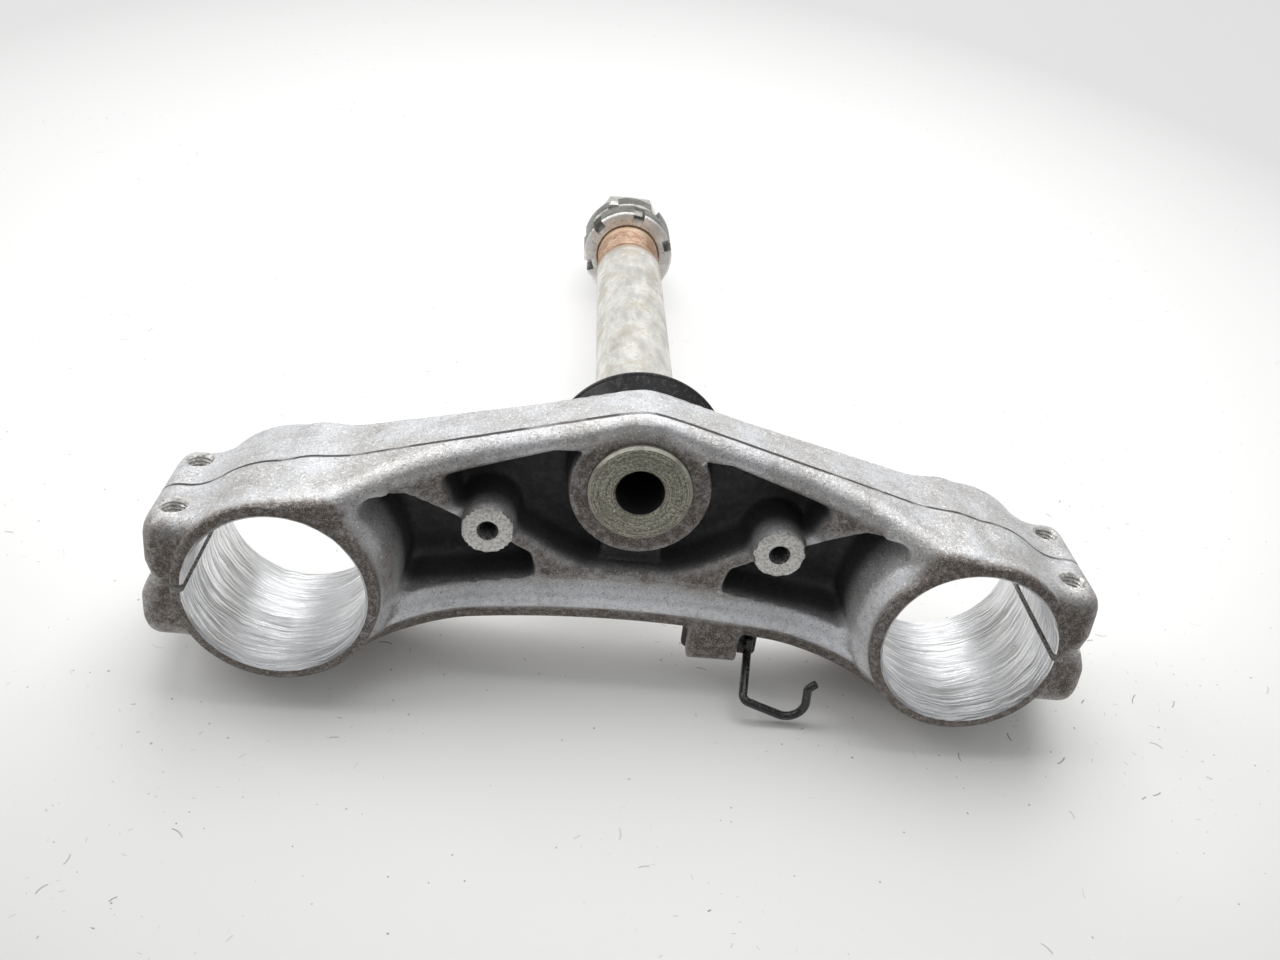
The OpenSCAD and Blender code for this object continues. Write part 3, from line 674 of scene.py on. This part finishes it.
def cast_skin_effect():
    tree, ins, outs = effect("cast_skin", [
        ("Place", "Vector", None), ("Hollow", "Float", 0.0), ("Crest", "Float", 0.0),
        ("Deep", "Float", 0.0), ("Seam", "Float", 0.0), ("Grime", "Float", 0.0),
    ], [("Color", "Color"), ("Roughness", "Float"), ("Normal", "Vector")])
    place = ins["Place"]
    height = split(tree, place)[2]
    soft = noise(tree, place, 1.7, 4.0, 0.6, 0.4)
    mid = noise(tree, place, 5.0, 4.0, 0.6)
    grain = noise(tree, place, 15.0, 4.0, 0.65)
    # bare aluminium, mottled with pale specks and dark pits
    broad = ease(tree, noise(tree, place, 0.55, 3.0), 0.35, 0.65)
    pale = flecked(tree, place, 11.0, 0.52, 0.64)
    pits = flecked(tree, stretch(tree, place, 1.1, 0.9, 1.3), 17.0, 0.56, 0.66)
    glint = flecked(tree, place, 30.0, 0.56, 0.62)
    colour = blend(tree, broad, (0.50, 0.49, 0.48, 1), (0.64, 0.645, 0.665, 1))
    colour = wash(tree, colour, pale, 0.7, (0.92, 0.915, 0.90, 1))
    colour = wash(tree, colour, pits, 0.7, (0.15, 0.14, 0.13, 1))
    # brown grime round the lower rims, grime and painted shade in hollows and on faces that look
    # down, rubbed off the crests
    rim = ease(tree, height, 0.03, 0.42, 1.2, 0.0)
    stain_and_shade = plus(tree, times(tree, ins["Hollow"], 0.55), ease(tree, soft, 0.45, 0.75, 0.0, 0.35))
    stain_and_shade = plus(tree, stain_and_shade, plus(tree, rim, ins["Grime"]))
    stain_and_shade = minus(tree, stain_and_shade, times(tree, ins["Crest"], 1.4))
    stain_and_shade = calc(tree, "MINIMUM", stain_and_shade, 1.1)
    mottle = plus(tree, times(tree, mid, 0.5), times(tree, grain, 0.5))
    stain_and_shade = times(tree, stain_and_shade, ease(tree, mottle, 0.35, 0.6, 0.55, 1.0), True)
    colour = blend(tree, stain_and_shade, colour, (0.140, 0.113, 0.094, 1))
    # painted highlight: fine bright glints
    colour = wash(tree, colour, glint, 0.5, (0.86, 0.855, 0.84, 1))
    # bare metal rubbed bright on the crests, with a painted bluish highlight there, on the front rail's
    # two lines and on the rings' flanks
    wear_and_highlight = times(tree, ease(tree, ins["Crest"], 0.22, 0.6), ease(tree, mid, 0.3, 0.6, 0.3, 1.0), True)
    colour = wash(tree, colour, wear_and_highlight, 0.85, (0.86, 0.87, 0.90, 1))
    colour = wash(tree, colour, pits, 0.45, (0.15, 0.14, 0.13, 1))
    # soot and painted shade deep in the pockets, and rust stains outside them
    colour = wash(tree, colour, ins["Deep"], 0.9, (0.085, 0.086, 0.091, 1))
    rust = times(tree, ease(tree, soft, 0.45, 0.6), minus(tree, 1.0, ins["Deep"]))
    rust = times(tree, dotted(tree, place, 3.2, 0.13, 0.16), rust)
    colour = wash(tree, colour, rust, 0.8, (0.20, 0.075, 0.035, 1))
    # the mould's parting line, a groove that wavers a little
    waver = plus(tree, height, times(tree, soft, 0.05))
    off = calc(tree, "ABSOLUTE", minus(tree, waver, PARTING / 10 + 0.025))
    line = times(tree, ease(tree, off, 0.04, 0.085, 1.0, 0.0), ins["Seam"])
    line = times(tree, line, ease(tree, noise(tree, place, 0.9, 2.0), 0.35, 0.5, 0.6, 1.0))
    colour = wash(tree, colour, line, 0.95, (0.05, 0.043, 0.04, 1))
    rough = plus(tree, ease(tree, mid, 0.3, 0.7, 0.45, 0.58), times(tree, stain_and_shade, 0.14))
    rough = minus(tree, rough, times(tree, wear_and_highlight, 0.15))
    bumps = plus(tree, times(tree, grain, 0.8), times(tree, mid, 0.9))
    bumps = minus(tree, bumps, times(tree, line, 1.5))
    tree.links.new(colour, outs["Color"])
    tree.links.new(rough, outs["Roughness"])
    tree.links.new(bump(tree, bumps, 0.9, 0.00028), outs["Normal"])
    return tree


def lathe_marks_effect():
    tree, ins, outs = effect("lathe_marks", [
        ("Place", "Vector", None), ("Across", "Float", 4.2), ("Along", "Float", 0.13),
    ], [("Streak", "Float"), ("Wide", "Float")])
    wave = times(tree, minus(tree, noise(tree, ins["Place"], 0.45, 3.0), 0.5), 0.9)
    parts = split(tree, ins["Place"])
    run = put(tree, "CombineXYZ", {}, {
        0: times(tree, parts[0], ins["Along"]),
        1: times(tree, plus(tree, parts[1], wave), ins["Across"]),
        2: parts[2],
    }).outputs[0]
    tree.links.new(noise(tree, run, 3.0, 6.0, 0.68), outs["Streak"])
    tree.links.new(noise(tree, run, 0.8, 3.0, 0.5), outs["Wide"])
    return tree


cast_skin, lathe_marks = cast_skin_effect(), lathe_marks_effect()


def cast_metal():
    mat, tree = blank("cast_aluminium")
    feeds = {"Place": attribute(tree, "yoke_cm", "Vector")}
    for label in ("Hollow", "Crest", "Deep", "Seam", "Grime"):
        feeds[label] = attribute(tree, label.lower())
    look = use(tree, cast_skin, feeds)
    surface(tree, {
        "Base Color": look["Color"], "Metallic": ease(tree, feeds["Crest"], 0.22, 0.6, 0.75, 0.35),
        "Roughness": look["Roughness"], "Normal": look["Normal"],
    })
    return mat


def bored_metal():
    mat, tree = blank("bored_aluminium")
    place = attribute(tree, "wrap_cm", "Vector")
    marks = use(tree, lathe_marks, {"Place": place})
    # painted reflections: broad lighter and darker patches under the lathe streaks
    strong = ease(tree, noise(tree, place, 0.6, 3.0), 0.38, 0.6)
    shade = blend(tree, strong, (0.60, 0.60, 0.61, 1), (0.36, 0.36, 0.36, 1))
    colour = blend(tree, ease(tree, marks["Streak"], 0.42, 0.58), shade, (0.86, 0.865, 0.875, 1))
    colour = blend(tree, ease(tree, marks["Wide"], 0.55, 0.8, 0.0, 0.4), colour, (0.52, 0.50, 0.46, 1))
    flecks = dotted(tree, place, 1.1, 0.07, 0.2)
    colour = wash(tree, colour, flecks, 0.7, (0.22, 0.15, 0.08, 1))
    rough = ease(tree, marks["Streak"], 0.3, 0.7, 0.42, 0.20)
    surface(tree, {
        "Base Color": colour, "Metallic": 0.9, "Roughness": rough,
        "Normal": bump(tree, marks["Streak"], 0.7, 0.0003),
    })
    return mat


def cut_metal(label, light, dark, scale, metallic, rough):
    mat, tree = blank(label)
    place = attribute(tree, "yoke_cm", "Vector")
    mask = flecked(tree, place, scale, 0.44, 0.62)
    broad = noise(tree, place, scale * 0.15, 3.0)
    colour = blend(tree, mask, light, dark)
    colour = blend(tree, ease(tree, broad, 0.5, 0.72, 0.0, 0.5), colour, dark)
    normal = bump(tree, mask, 0.3, 0.0001)
    surface(tree, {
        "Base Color": colour, "Metallic": metallic, "Roughness": rough, "Normal": normal,
    })
    return mat


# Wear and painted light, in shares: grime on the front rail's bevel, the outer lugs and
# beside the rings; grime and painted shade on the ribs, painted shade wherever the casting
# looks down; bare metal and painted highlights on crests, painted highlights on the rail's two
# lines and on the rings' flanks by the pockets; the parting line along the sides.
front, downward = front_edge(side), -out[:, 2]
ribs = np.max([rear_edge(side) + 7.5 - ahead, ahead - front + 17, side - 76], axis=0)
# painted shade: faces that look down are darkened, and with grime on the ribs
grime = 0.62 * rise(ribs, 1.5, -2.5) * rise(downward, -0.2, 0.5) + 0.42 * rise(downward, -0.05, 0.6)
grime += 0.75 * rise(ahead, front - 8.2, front - 4.0) * rise(side, 95, 80)
grime += 0.36 * rise(side, 126, 140) * rise(height, 30, 8)
grime += 0.4 * rise(from_ring, 42, 35) * rise(ahead, front - 13, front - 7) * rise(side, 95, 85)
grime -= 0.05 * rise(ahead, front - 1, front + 3) * rise(np.abs(skin[:, 0] - STOP_X), 14, 11)
# painted highlights: two bright lines along the front rail
off = ahead - front + RAIL
ridge = 0.95 * np.exp(-((off + 0.4) / 1.5) ** 2) + 0.5 * np.exp(-((off + 4.4) / 2.6) ** 2)
ridge *= rise(side, 97, 88) * rise(height, 25, 22) * rise(downward, 0.1, 0.5) * rise(from_ring, 33, 38)
# painted highlight: the rings' flanks beside the pockets, brighter on the right ring
flank_highlight = np.where(skin[:, 0] > 0, 0.5, 0.3) * rise(side, 60, 75) * rise(from_ring, 36, 33)
flank_highlight *= rise(reach[:, 0], 6, -6) * rise(height, 1.5, 5) * rise(height, 26, 18) * rise(ahead, 58, 48)
seam = rise(np.abs(out[:, 2]), 0.8, 0.55) * rise(np.abs(height - PARTING), 5, 2)
paint(yoke.data, "grime", grime)
paint(yoke.data, "crest", np.max([crest, ridge, flank_highlight], axis=0))
paint(yoke.data, "seam", seam * (1 - rise(pocket, 3.5, 1.0)))
for mat in (
    cast_metal(), bored_metal(),
    cut_metal("drilled_aluminium", (0.80, 0.79, 0.77, 1), (0.42, 0.40, 0.37, 1), 9.0, 0.8, 0.38),
    cut_metal("faced_aluminium", (0.76, 0.75, 0.72, 1), (0.46, 0.45, 0.42, 1), 12.0, 0.7, 0.42),
    # painted shade: the thread inside the small bosses is coloured near black
    cut_metal("shaded_thread", (0.16, 0.155, 0.15, 1), (0.03, 0.03, 0.03, 1), 14.0, 0.6, 0.4),
):
    yoke.data.materials.append(mat)
yoke.data.polygons.foreach_set("material_index", metals)
settle(yoke, "clamp_casting")

# Steering stem: a hollow steel tube pressed into the boss from below, plated an ivory
# tone, with a shouldered foot, the lower bearing seat and a threaded upper band that has
# rusted where the nuts leave it bare.
def plain_place(piece, label="stem_cm"):
    paint(piece.data, label, columns(piece.data, "co") / 10)


STEM_BORE, TUBE, THREAD = 7.5, 13.7, 13.4
FOOT_TOP, THREAD_START, STEM_END = 42.0, 213.0, 272.3
STEM = [(STEM_BORE, 21.5), (STEM_BORE, 19.9), (8.2, 19.2), (15.1, 19.2), (15.9, 20.0), (15.9, FOOT_TOP)]
STEM += [(15, FOOT_TOP), (15, 60), (TUBE, 61.5)] + band(TUBE, 66, 210, 6)
STEM += [(TUBE, 212.4), (13.2, THREAD_START), (12.7, 213.2), (12.7, 214.5)]
STEM += band(THREAD, 214.9, HEAD_START, 0.2)
STEM += [(11, HEAD_START), (11, 271.5), (10.2, STEM_END), (8.2, STEM_END), (STEM_BORE, 271.6)]
stem = turned("steering_stem", STEM, 112, screw(THREAD, 215, HEAD_START, 1.0, -0.42))
plain_place(stem)


def plated_tube():
    mat, tree = blank("plated_tube")
    place = attribute(tree, "stem_cm", "Vector")
    streaks = noise(tree, stretch(tree, place, 1.0, 1.0, 0.4), 1.5, 6.0, 0.62, 0.15)
    cloud = noise(tree, place, 0.9, 4.0, 0.6, 0.1)
    fine = noise(tree, place, 9.0, 4.0, 0.65)
    colour = blend(tree, ease(tree, streaks, 0.34, 0.68), (0.50, 0.485, 0.44, 1), (0.78, 0.77, 0.72, 1))
    colour = blend(tree, ease(tree, cloud, 0.50, 0.72, 0.0, 0.75), colour, (0.46, 0.39, 0.29, 1))
    colour = blend(tree, ease(tree, fine, 0.52, 0.68, 0.0, 0.55), colour, (0.33, 0.31, 0.27, 1))
    flecks = dotted(tree, place, 1.6, 0.06, 0.25)
    colour = wash(tree, colour, flecks, 0.6, (0.16, 0.11, 0.07, 1))
    edge = plus(tree, split(tree, place)[2], times(tree, cloud, 0.5))
    colour = blend(tree, ease(tree, edge, 20.9, 21.5), colour, (0.42, 0.30, 0.20, 1))
    surface(tree, {
        "Base Color": colour, "Metallic": 0.45, "Roughness": ease(tree, cloud, 0.3, 0.7, 0.34, 0.52),
        "Normal": bump(tree, fine, 0.25, 0.00012),
    })
    return mat


def olive_foot():
    mat, tree = blank("olive_foot")
    place = attribute(tree, "stem_cm", "Vector")
    flat = stretch(tree, place, 1, 1, 0)
    away = put(tree, "VectorMath", {"operation": "LENGTH"}, {0: flat}).outputs["Value"]
    cloud = noise(tree, place, 2.2, 4.0, 0.6)
    feeds = {0: times(tree, away, 7.0), 1: times(tree, cloud, 1.5)}
    rings = put(tree, "CombineXYZ", {}, feeds).outputs[0]
    grain = plus(tree, times(tree, noise(tree, place, 14.0, 5.0, 0.7), 0.55),
                 times(tree, noise(tree, rings, 3.0, 3.0, 0.6), 0.45))
    edge = ease(tree, away, 1.49, 1.52, 0.0, 0.6)
    colour = blend(tree, ease(tree, grain, 0.42, 0.58), (0.14, 0.135, 0.102, 1), (0.46, 0.45, 0.37, 1))
    colour = blend(tree, edge, colour, (0.80, 0.78, 0.68, 1))
    colour = blend(tree, ease(tree, cloud, 0.45, 0.7, 0.0, 0.5), colour, (0.19, 0.185, 0.145, 1))
    colour = wash(tree, colour, flecked(tree, place, 9.0, 0.62, 0.68), 0.7, (0.74, 0.73, 0.62, 1))
    surface(tree, {
        "Base Color": colour, "Metallic": 0.6, "Roughness": 0.42,
        "Normal": bump(tree, grain, 0.4, 0.0001),
    })
    return mat


def rusty_thread():
    mat, tree = blank("rusty_thread")
    place = attribute(tree, "stem_cm", "Vector")
    cloud = noise(tree, place, 2.6, 4.0, 0.6, 0.6)
    fine = noise(tree, place, 12.0, 4.0, 0.6)
    height = split(tree, place)[2]
    colour = blend(tree, ease(tree, cloud, 0.35, 0.62), (0.36, 0.20, 0.115, 1), (0.55, 0.405, 0.30, 1))
    colour = blend(tree, ease(tree, fine, 0.5, 0.68, 0.0, 0.6), colour, (0.17, 0.10, 0.07, 1))
    ring = ease(tree, calc(tree, "ABSOLUTE", minus(tree, height, 23.45)), 0.10, 0.22, 1.0, 0.0)
    colour = wash(tree, colour, ring, 0.7, (0.62, 0.52, 0.38, 1))
    orange = ease(tree, height, 23.0, 23.7, 0.0, 0.5)
    patches = ease(tree, cloud, 0.4, 0.6)
    colour = blend(tree, times(tree, orange, patches), colour, (0.42, 0.20, 0.07, 1))
    surface(tree, {"Base Color": colour, "Metallic": 0.35, "Roughness": 0.55})
    return mat


# The tube's inside, coloured near black.
def near_black_bore():
    mat, tree = blank("near_black_bore")
    dark_noise = noise(tree, attribute(tree, "stem_cm", "Vector"), 3.0, 4.0)
    colour = blend(tree, dark_noise, (0.006, 0.006, 0.007, 1), (0.028, 0.026, 0.024, 1))
    surface(tree, {"Base Color": colour, "Roughness": 0.8})
    return mat


for mat in (plated_tube(), olive_foot(), rusty_thread(), near_black_bore()):
    stem.data.materials.append(mat)
mid = columns(stem.data, "center", 3, "polygons")
radius, height = np.hypot(mid[:, 0], mid[:, 1]), mid[:, 2]
zone = np.where(height < FOOT_TOP - 1, 1, np.where(height > THREAD_START - 0.1, 2, 0))
zone[(radius < STEM_BORE + 0.1) & (height > 20)] = 3
stem.data.polygons.foreach_set("material_index", zone)
settle(stem, "steering_stem")

# Dust seal: a black moulded rubber washer with a raised lip. It is slipped over the stem
# and lies on the arms, held down by the race.
SEAL = [(15.2, 42), (24.5, 42), (26.2, 43.9), (27.0, 44.7), (27.35, 45.1), (27.3, 45.35)]
SEAL += [(27.7, 45.6), (28.0, 46.0), (28.0, 46.5), (27.7, 46.8), (27.1, 46.75)]
SEAL += [(26.3, 45.9), (24.2, 44.0), (23.5, 43.45), (22.6, 43.4), (15.2, 43.4)]
seal = turned("dust_seal", SEAL, 128)
plain_place(seal, "seal_cm")


def black_rubber():
    mat, tree = blank("black_rubber")
    dust = flecked(tree, attribute(tree, "seal_cm", "Vector"), 7.0, 0.5, 0.72)
    colour = blend(tree, times(tree, dust, 0.5), (0.012, 0.012, 0.013, 1), (0.10, 0.095, 0.088, 1))
    surface(tree, {
        "Base Color": colour, "Roughness": ease(tree, dust, 0.0, 1.0, 0.26, 0.65),
        "Specular IOR Level": 0.5,
    })
    return mat


seal.data.materials.append(black_rubber())
settle(seal, "dust_seal")

# Lower bearing race: the inner race of the lower head bearing, a hardened steel ring with
# a ground cone. It is pressed on the stem's seat over the seal.
RACE = [(15.03, 43.7), (15.33, 43.4), (19.9, 43.4), (20.5, 44.0), (20.5, 46.1), (20.2, 46.4)]
RACE += [(18.3, 46.4), (17.9, 46.9), (17.6, 49.5), (17.2, 52.5), (16.8, 56.0), (16.5, 57.9)]
RACE += [(15.8, 58.6), (15.4, 58.6), (15.03, 58.2)]
race = turned("lower_bearing_race", RACE, 128)
plain_place(race, "race_cm")


def bright_steel(label, place_name, light, dark, grime, metallic=0.9, rough=0.3, scale=2.0):
    mat, tree = blank(label)
    place = attribute(tree, place_name, "Vector")
    cloud = noise(tree, place, scale, 4.0, 0.6, 0.5)
    fine = noise(tree, place, scale * 6, 4.0, 0.65)
    colour = blend(tree, ease(tree, cloud, 0.36, 0.62), light, dark)
    colour = blend(tree, ease(tree, fine, 0.54, 0.70, 0.0, 0.7), colour, grime)
    surface(tree, {
        "Base Color": colour, "Metallic": metallic,
        "Roughness": ease(tree, fine, 0.3, 0.7, rough, rough + 0.2),
        "Normal": bump(tree, fine, 0.25, 0.0001),
    })
    return mat


race.data.materials.append(bright_steel(
    "ground_steel", "race_cm", (0.62, 0.62, 0.63, 1), (0.45, 0.45, 0.46, 1),
    (0.22, 0.18, 0.14, 1), 1.0, 0.2))
settle(race, "lower_bearing_race")

# Adjuster nut: a round zinc-plated nut with six slots for a hook spanner; it takes up the
# play of the head bearings.
def soften(piece, width=0.25, crease=32):
    mod = piece.modifiers.new("soften", "BEVEL")
    mod.width = width
    mod.segments = 2
    mod.limit_method = "ANGLE"
    mod.angle_limit = math.radians(38)
    apply(piece, crease)


def spun_box(name, low, high, turn):
    block = box(name, low, high)
    block.data.transform(Matrix.Rotation(math.radians(turn), 4, "Z"))
    return block


def slotted_nut(name, low, high, turn):
    body = [(13.43, low + 0.7), (14.1, low), (18.9, low), (19.75, low + 0.75), (19.75, high - 0.35),
            (19.4, high), (14.1, high), (13.43, high - 0.7)]
    nut = turned(name, body, 120)
    start, stop = (16.4, -2.4, low - 2), (23, 2.4, high + 2)
    carve(nut, [spun_box("slot", start, stop, turn + 60 * i) for i in range(6)])
    soften(nut, 0.28)
    plain_place(nut, "nut_cm")
    return nut


def nut_steel(label, light, dark, dirt, metallic=0.75, scale=1.4):
    return bright_steel(label, "nut_cm", light, dark, dirt, metallic, 0.36, scale)


# painted shade: the nut's sides get a darker copy of its plating
def shaded_sides(nut):
    name = nut.name + "_side"
    nut.data.materials.append(nut_steel(
        name, (0.27, 0.265, 0.245, 1), (0.16, 0.155, 0.14, 1), (0.13, 0.09, 0.06, 1), 0.7))
    mid, facing = (columns(nut.data, label, 3, "polygons") for label in ("center", "normal"))
    side_on = (np.hypot(mid[:, 0], mid[:, 1]) > 16.2) & (np.abs(facing[:, 2]) < 0.5)
    nut.data.polygons.foreach_set("material_index", side_on.astype(int))


ADJUSTER_LOW, WASHER_LOW, LOCK_LOW = 237.5, 248.5, 249.7
ADJUSTER_TURN, LOCK_TURN = -80, -55
adjuster = slotted_nut("adjuster_nut", ADJUSTER_LOW, WASHER_LOW, ADJUSTER_TURN)
adjuster.data.materials.append(nut_steel(
    "zinc_plate", (0.88, 0.87, 0.85, 1), (0.66, 0.65, 0.63, 1), (0.34, 0.27, 0.19, 1)))
shaded_sides(adjuster)
settle(adjuster, "adjuster_nut")

# Lock washer: a thin steel washer between the nuts with tabs bent both ways into their
# slots, so that neither nut can turn.
flat = [(13.6, WASHER_LOW), (17.6, WASHER_LOW), (17.6, LOCK_LOW), (13.6, LOCK_LOW)]
washer = turned("lock_washer", flat, 120)
tabs = [spun_box("tab", (16.43, -2, WASHER_LOW - 7), (17.63, 2, LOCK_LOW), ADJUSTER_TURN + 180 * i)
        for i in range(2)]
tabs += [spun_box("tab", (16.43, -2, WASHER_LOW), (17.63, 2, LOCK_LOW + 7), LOCK_TURN + 120 * i)
         for i in range(2)]
carve(washer, tabs, "UNION")
soften(washer, 0.2)
plain_place(washer, "washer_cm")
washer.data.materials.append(bright_steel(
    "washer_steel", "washer_cm", (0.62, 0.61, 0.58, 1), (0.42, 0.40, 0.37, 1),
    (0.20, 0.15, 0.10, 1), 0.8, 0.32))
settle(washer, "lock_washer")

# Lock nut: a second round nut of the same kind, plated a darker olive and run down on the
# lock washer, whose upper tabs stand in its slots.
lock = slotted_nut("lock_nut", LOCK_LOW, HEAD_START, LOCK_TURN)
lock.data.materials.append(nut_steel(
    "olive_plate", (0.52, 0.52, 0.47, 1), (0.36, 0.36, 0.32, 1), (0.20, 0.17, 0.13, 1), scale=1.6))
shaded_sides(lock)
settle(lock, "lock_nut")

# Head nut: a zinc-plated hexagon nut screwed on the stem's end, which clamps the upper yoke.
# Its crown is turned to a chamfer.
def hexagon(half_across, x=0.0, y=0.0):
    corner = half_across / math.cos(math.pi / 6)
    turns = [i * math.pi / 3 for i in range(6)]
    return [(x + corner * math.cos(t), y + corner * math.sin(t)) for t in turns]


def slab(name, line, low, high):
    n = len(line)
    verts = [(x, y, z) for z in (low, high) for x, y in line]
    faces = [tuple(reversed(range(n))), tuple(range(n, 2 * n))]
    faces += [(i, (i + 1) % n, n + (i + 1) % n, n + i) for i in range(n)]
    return link_mesh(name, verts, faces)


head = slab("stem_head_nut", hexagon(16), HEAD_START, HEAD_TOP)
crown = [(0, 259), (17.75, 259), (18.6, 260.9), (18.6, 272.75), (HEAD_CROWN, HEAD_TOP), (0, HEAD_TOP)]
carve(head, [turned("crown", crown, 120)], "INTERSECT")
soften(head, 0.35)
hole = [(0, 259), (12.3, 259), (11.03, 260.9), (11.03, 273.3), (12.4, 275), (0, 275)]
carve(head, [turned("head_bore", hole, 96)])
plain_place(head, "head_cm")
head.data.materials.append(bright_steel(
    "bright_zinc", "head_cm", (0.72, 0.71, 0.66, 1), (0.52, 0.51, 0.46, 1),
    (0.28, 0.24, 0.18, 1), 0.8, 0.28, 1.2))
settle(head, "stem_head_nut")

# Hose guide plate: a black painted sheet steel plate on top of the steering stop, with a
# tab beside the stop that carries the hook.
GUIDE_X, GUIDE_Y, PLATE_LOW, PLATE_TOP = 29.0, 54.8, 27.0, 28.6
PLATE = [(20.3, 50), (45, 52), (45, 61), (39, 61), (39, 60), (20.3, 60)]
plate = slab("hose_guide_bracket", rounded(PLATE, (2, 1, 1.5, 1, 1, 2)), PLATE_LOW, PLATE_TOP)
hole = [(0, 26), (2.7, 26), (2.7, 30), (0, 30)]
carve(plate, [turned("plate_hole", hole, 48, at=(GUIDE_X, GUIDE_Y, 0))])
soften(plate, 0.25)
plain_place(plate, "guide_cm")


def black_paint():
    mat, tree = blank("black_paint")
    place = attribute(tree, "guide_cm", "Vector")
    chips = flecked(tree, place, 8.0, 0.58, 0.66)
    dust = flecked(tree, stretch(tree, place, 1.2, 1, 1), 4.0, 0.48, 0.7)
    colour = blend(tree, times(tree, dust, 0.45), (0.014, 0.014, 0.015, 1), (0.085, 0.075, 0.065, 1))
    colour = wash(tree, colour, chips, 0.5, (0.20, 0.17, 0.145, 1))
    surface(tree, {
        "Base Color": colour, "Roughness": ease(tree, dust, 0.0, 1.0, 0.24, 0.55),
        "Normal": bump(tree, dust, 0.2, 0.0001), "Specular IOR Level": 0.6,
    })
    return mat


painted = black_paint()
plate.data.materials.append(painted)
settle(plate, "hose_guide_bracket")

# Hose guide hook: a round steel rod welded under the tab, bent down and round into an
# open hook with its tip turned out; painted with the plate.
ROD, SPOKES, HOOK = 1.4, 24, 6.0
UNDER_TAB, HOOK_LEVEL = PLATE_LOW - ROD, 8.0


def bend(a, b, c, radius, steps=7):
    a, b, c = Vector(a), Vector(b), Vector(c)
    u, w = (a - b).normalized(), (c - b).normalized()
    half = u.angle(w) / 2
    centre = b + (u + w).normalized() * radius / math.sin(half)
    x = (b + u * radius / math.tan(half) - centre).normalized()
    y = u.cross(w).normalized().cross(x)
    turns = np.linspace(0, math.pi - 2 * half, steps)
    return [centre + radius * (x * math.cos(t) - y * math.sin(t)) for t in turns]


def on_bowl(degrees):
    t = math.radians(degrees)
    return bowl + HOOK * Vector((math.cos(t), math.sin(t), 0))


start, knee = Vector((42.3, 53.4, UNDER_TAB)), Vector((42.3, 58.4, UNDER_TAB))
foot, bowl = Vector((40.1, 65.6, HOOK_LEVEL)), Vector((54.6, 64.6, HOOK_LEVEL))
leave = bowl + HOOK * Vector((1, -0.12, 0))
lip = leave + 4.7 * Vector((-0.08, -0.997, 0))
tip = lip + 3.3 * Vector((0.737, -0.676, 0))
line = [start] + bend(start, knee, foot, 2.2) + bend(knee, foot, on_bowl(130), 2.2)
line += [on_bowl(degrees) for degrees in range(115, 0, -8)]
line += bend(leave, lip, tip, 2.2) + [tip]
verts, faces = [], []
for i, at in enumerate(line):
    heading = (line[min(i + 1, len(line) - 1)] - line[max(i - 1, 0)]).normalized()
    across = heading.cross(Vector((0, 0, 1))).normalized()
    up = across.cross(heading)
    rows = [(0.0, ROD)]
    if i == 0:
        rows = [(0.0, ROD - 0.35), (0.3, ROD)]
    if i == len(line) - 1:
        rows = [(-0.3, ROD), (0.0, ROD - 0.35)]
    for along, r in rows:
        for k in range(SPOKES):
            t = 2 * math.pi * k / SPOKES
            verts.append(at + heading * along + r * (across * math.cos(t) + up * math.sin(t)))
count = len(verts)
for low in range(0, count - SPOKES, SPOKES):
    for k in range(SPOKES):
        n = (k + 1) % SPOKES
        faces.append((low + k, low + n, low + SPOKES + n, low + SPOKES + k))
faces += [tuple(reversed(range(SPOKES))), tuple(range(count - SPOKES, count))]
rod = link_mesh("hose_guide_rod", verts, faces)
plain_place(rod, "guide_cm")
rod.data.materials.append(painted)
settle(rod, "hose_guide_rod")

# Hose guide bolt: a small hexagon-head steel screw, plated, that holds the plate down on
# the steering stop.
middle = (GUIDE_X, GUIDE_Y, 0)
bolt = slab("hose_guide_bolt", hexagon(4, GUIDE_X, GUIDE_Y), PLATE_TOP, 32.4)
crown = [(0, 28), (4.7, 28), (4.7, 31.6), (4.0, 32.4), (0, 32.4)]
carve(bolt, [turned("crown", crown, 64, at=middle)], "INTERSECT")
shank = [(0, 22), (2.1, 22)] + band(2.5, 22.4, 26.9, 0.14) + [(2.5, 29), (0, 29)]
carve(bolt, [turned("shank", shank, 40, screw(2.5, 22.4, 26.9, 0.8, -0.35), at=middle)], "UNION")
plain_place(bolt, "bolt_cm")
bolt.data.materials.append(bright_steel(
    "bolt_steel", "bolt_cm", (0.42, 0.42, 0.43, 1), (0.28, 0.28, 0.28, 1),
    (0.17, 0.11, 0.07, 1), 0.85, 0.34))
settle(bolt, "hose_guide_bolt")
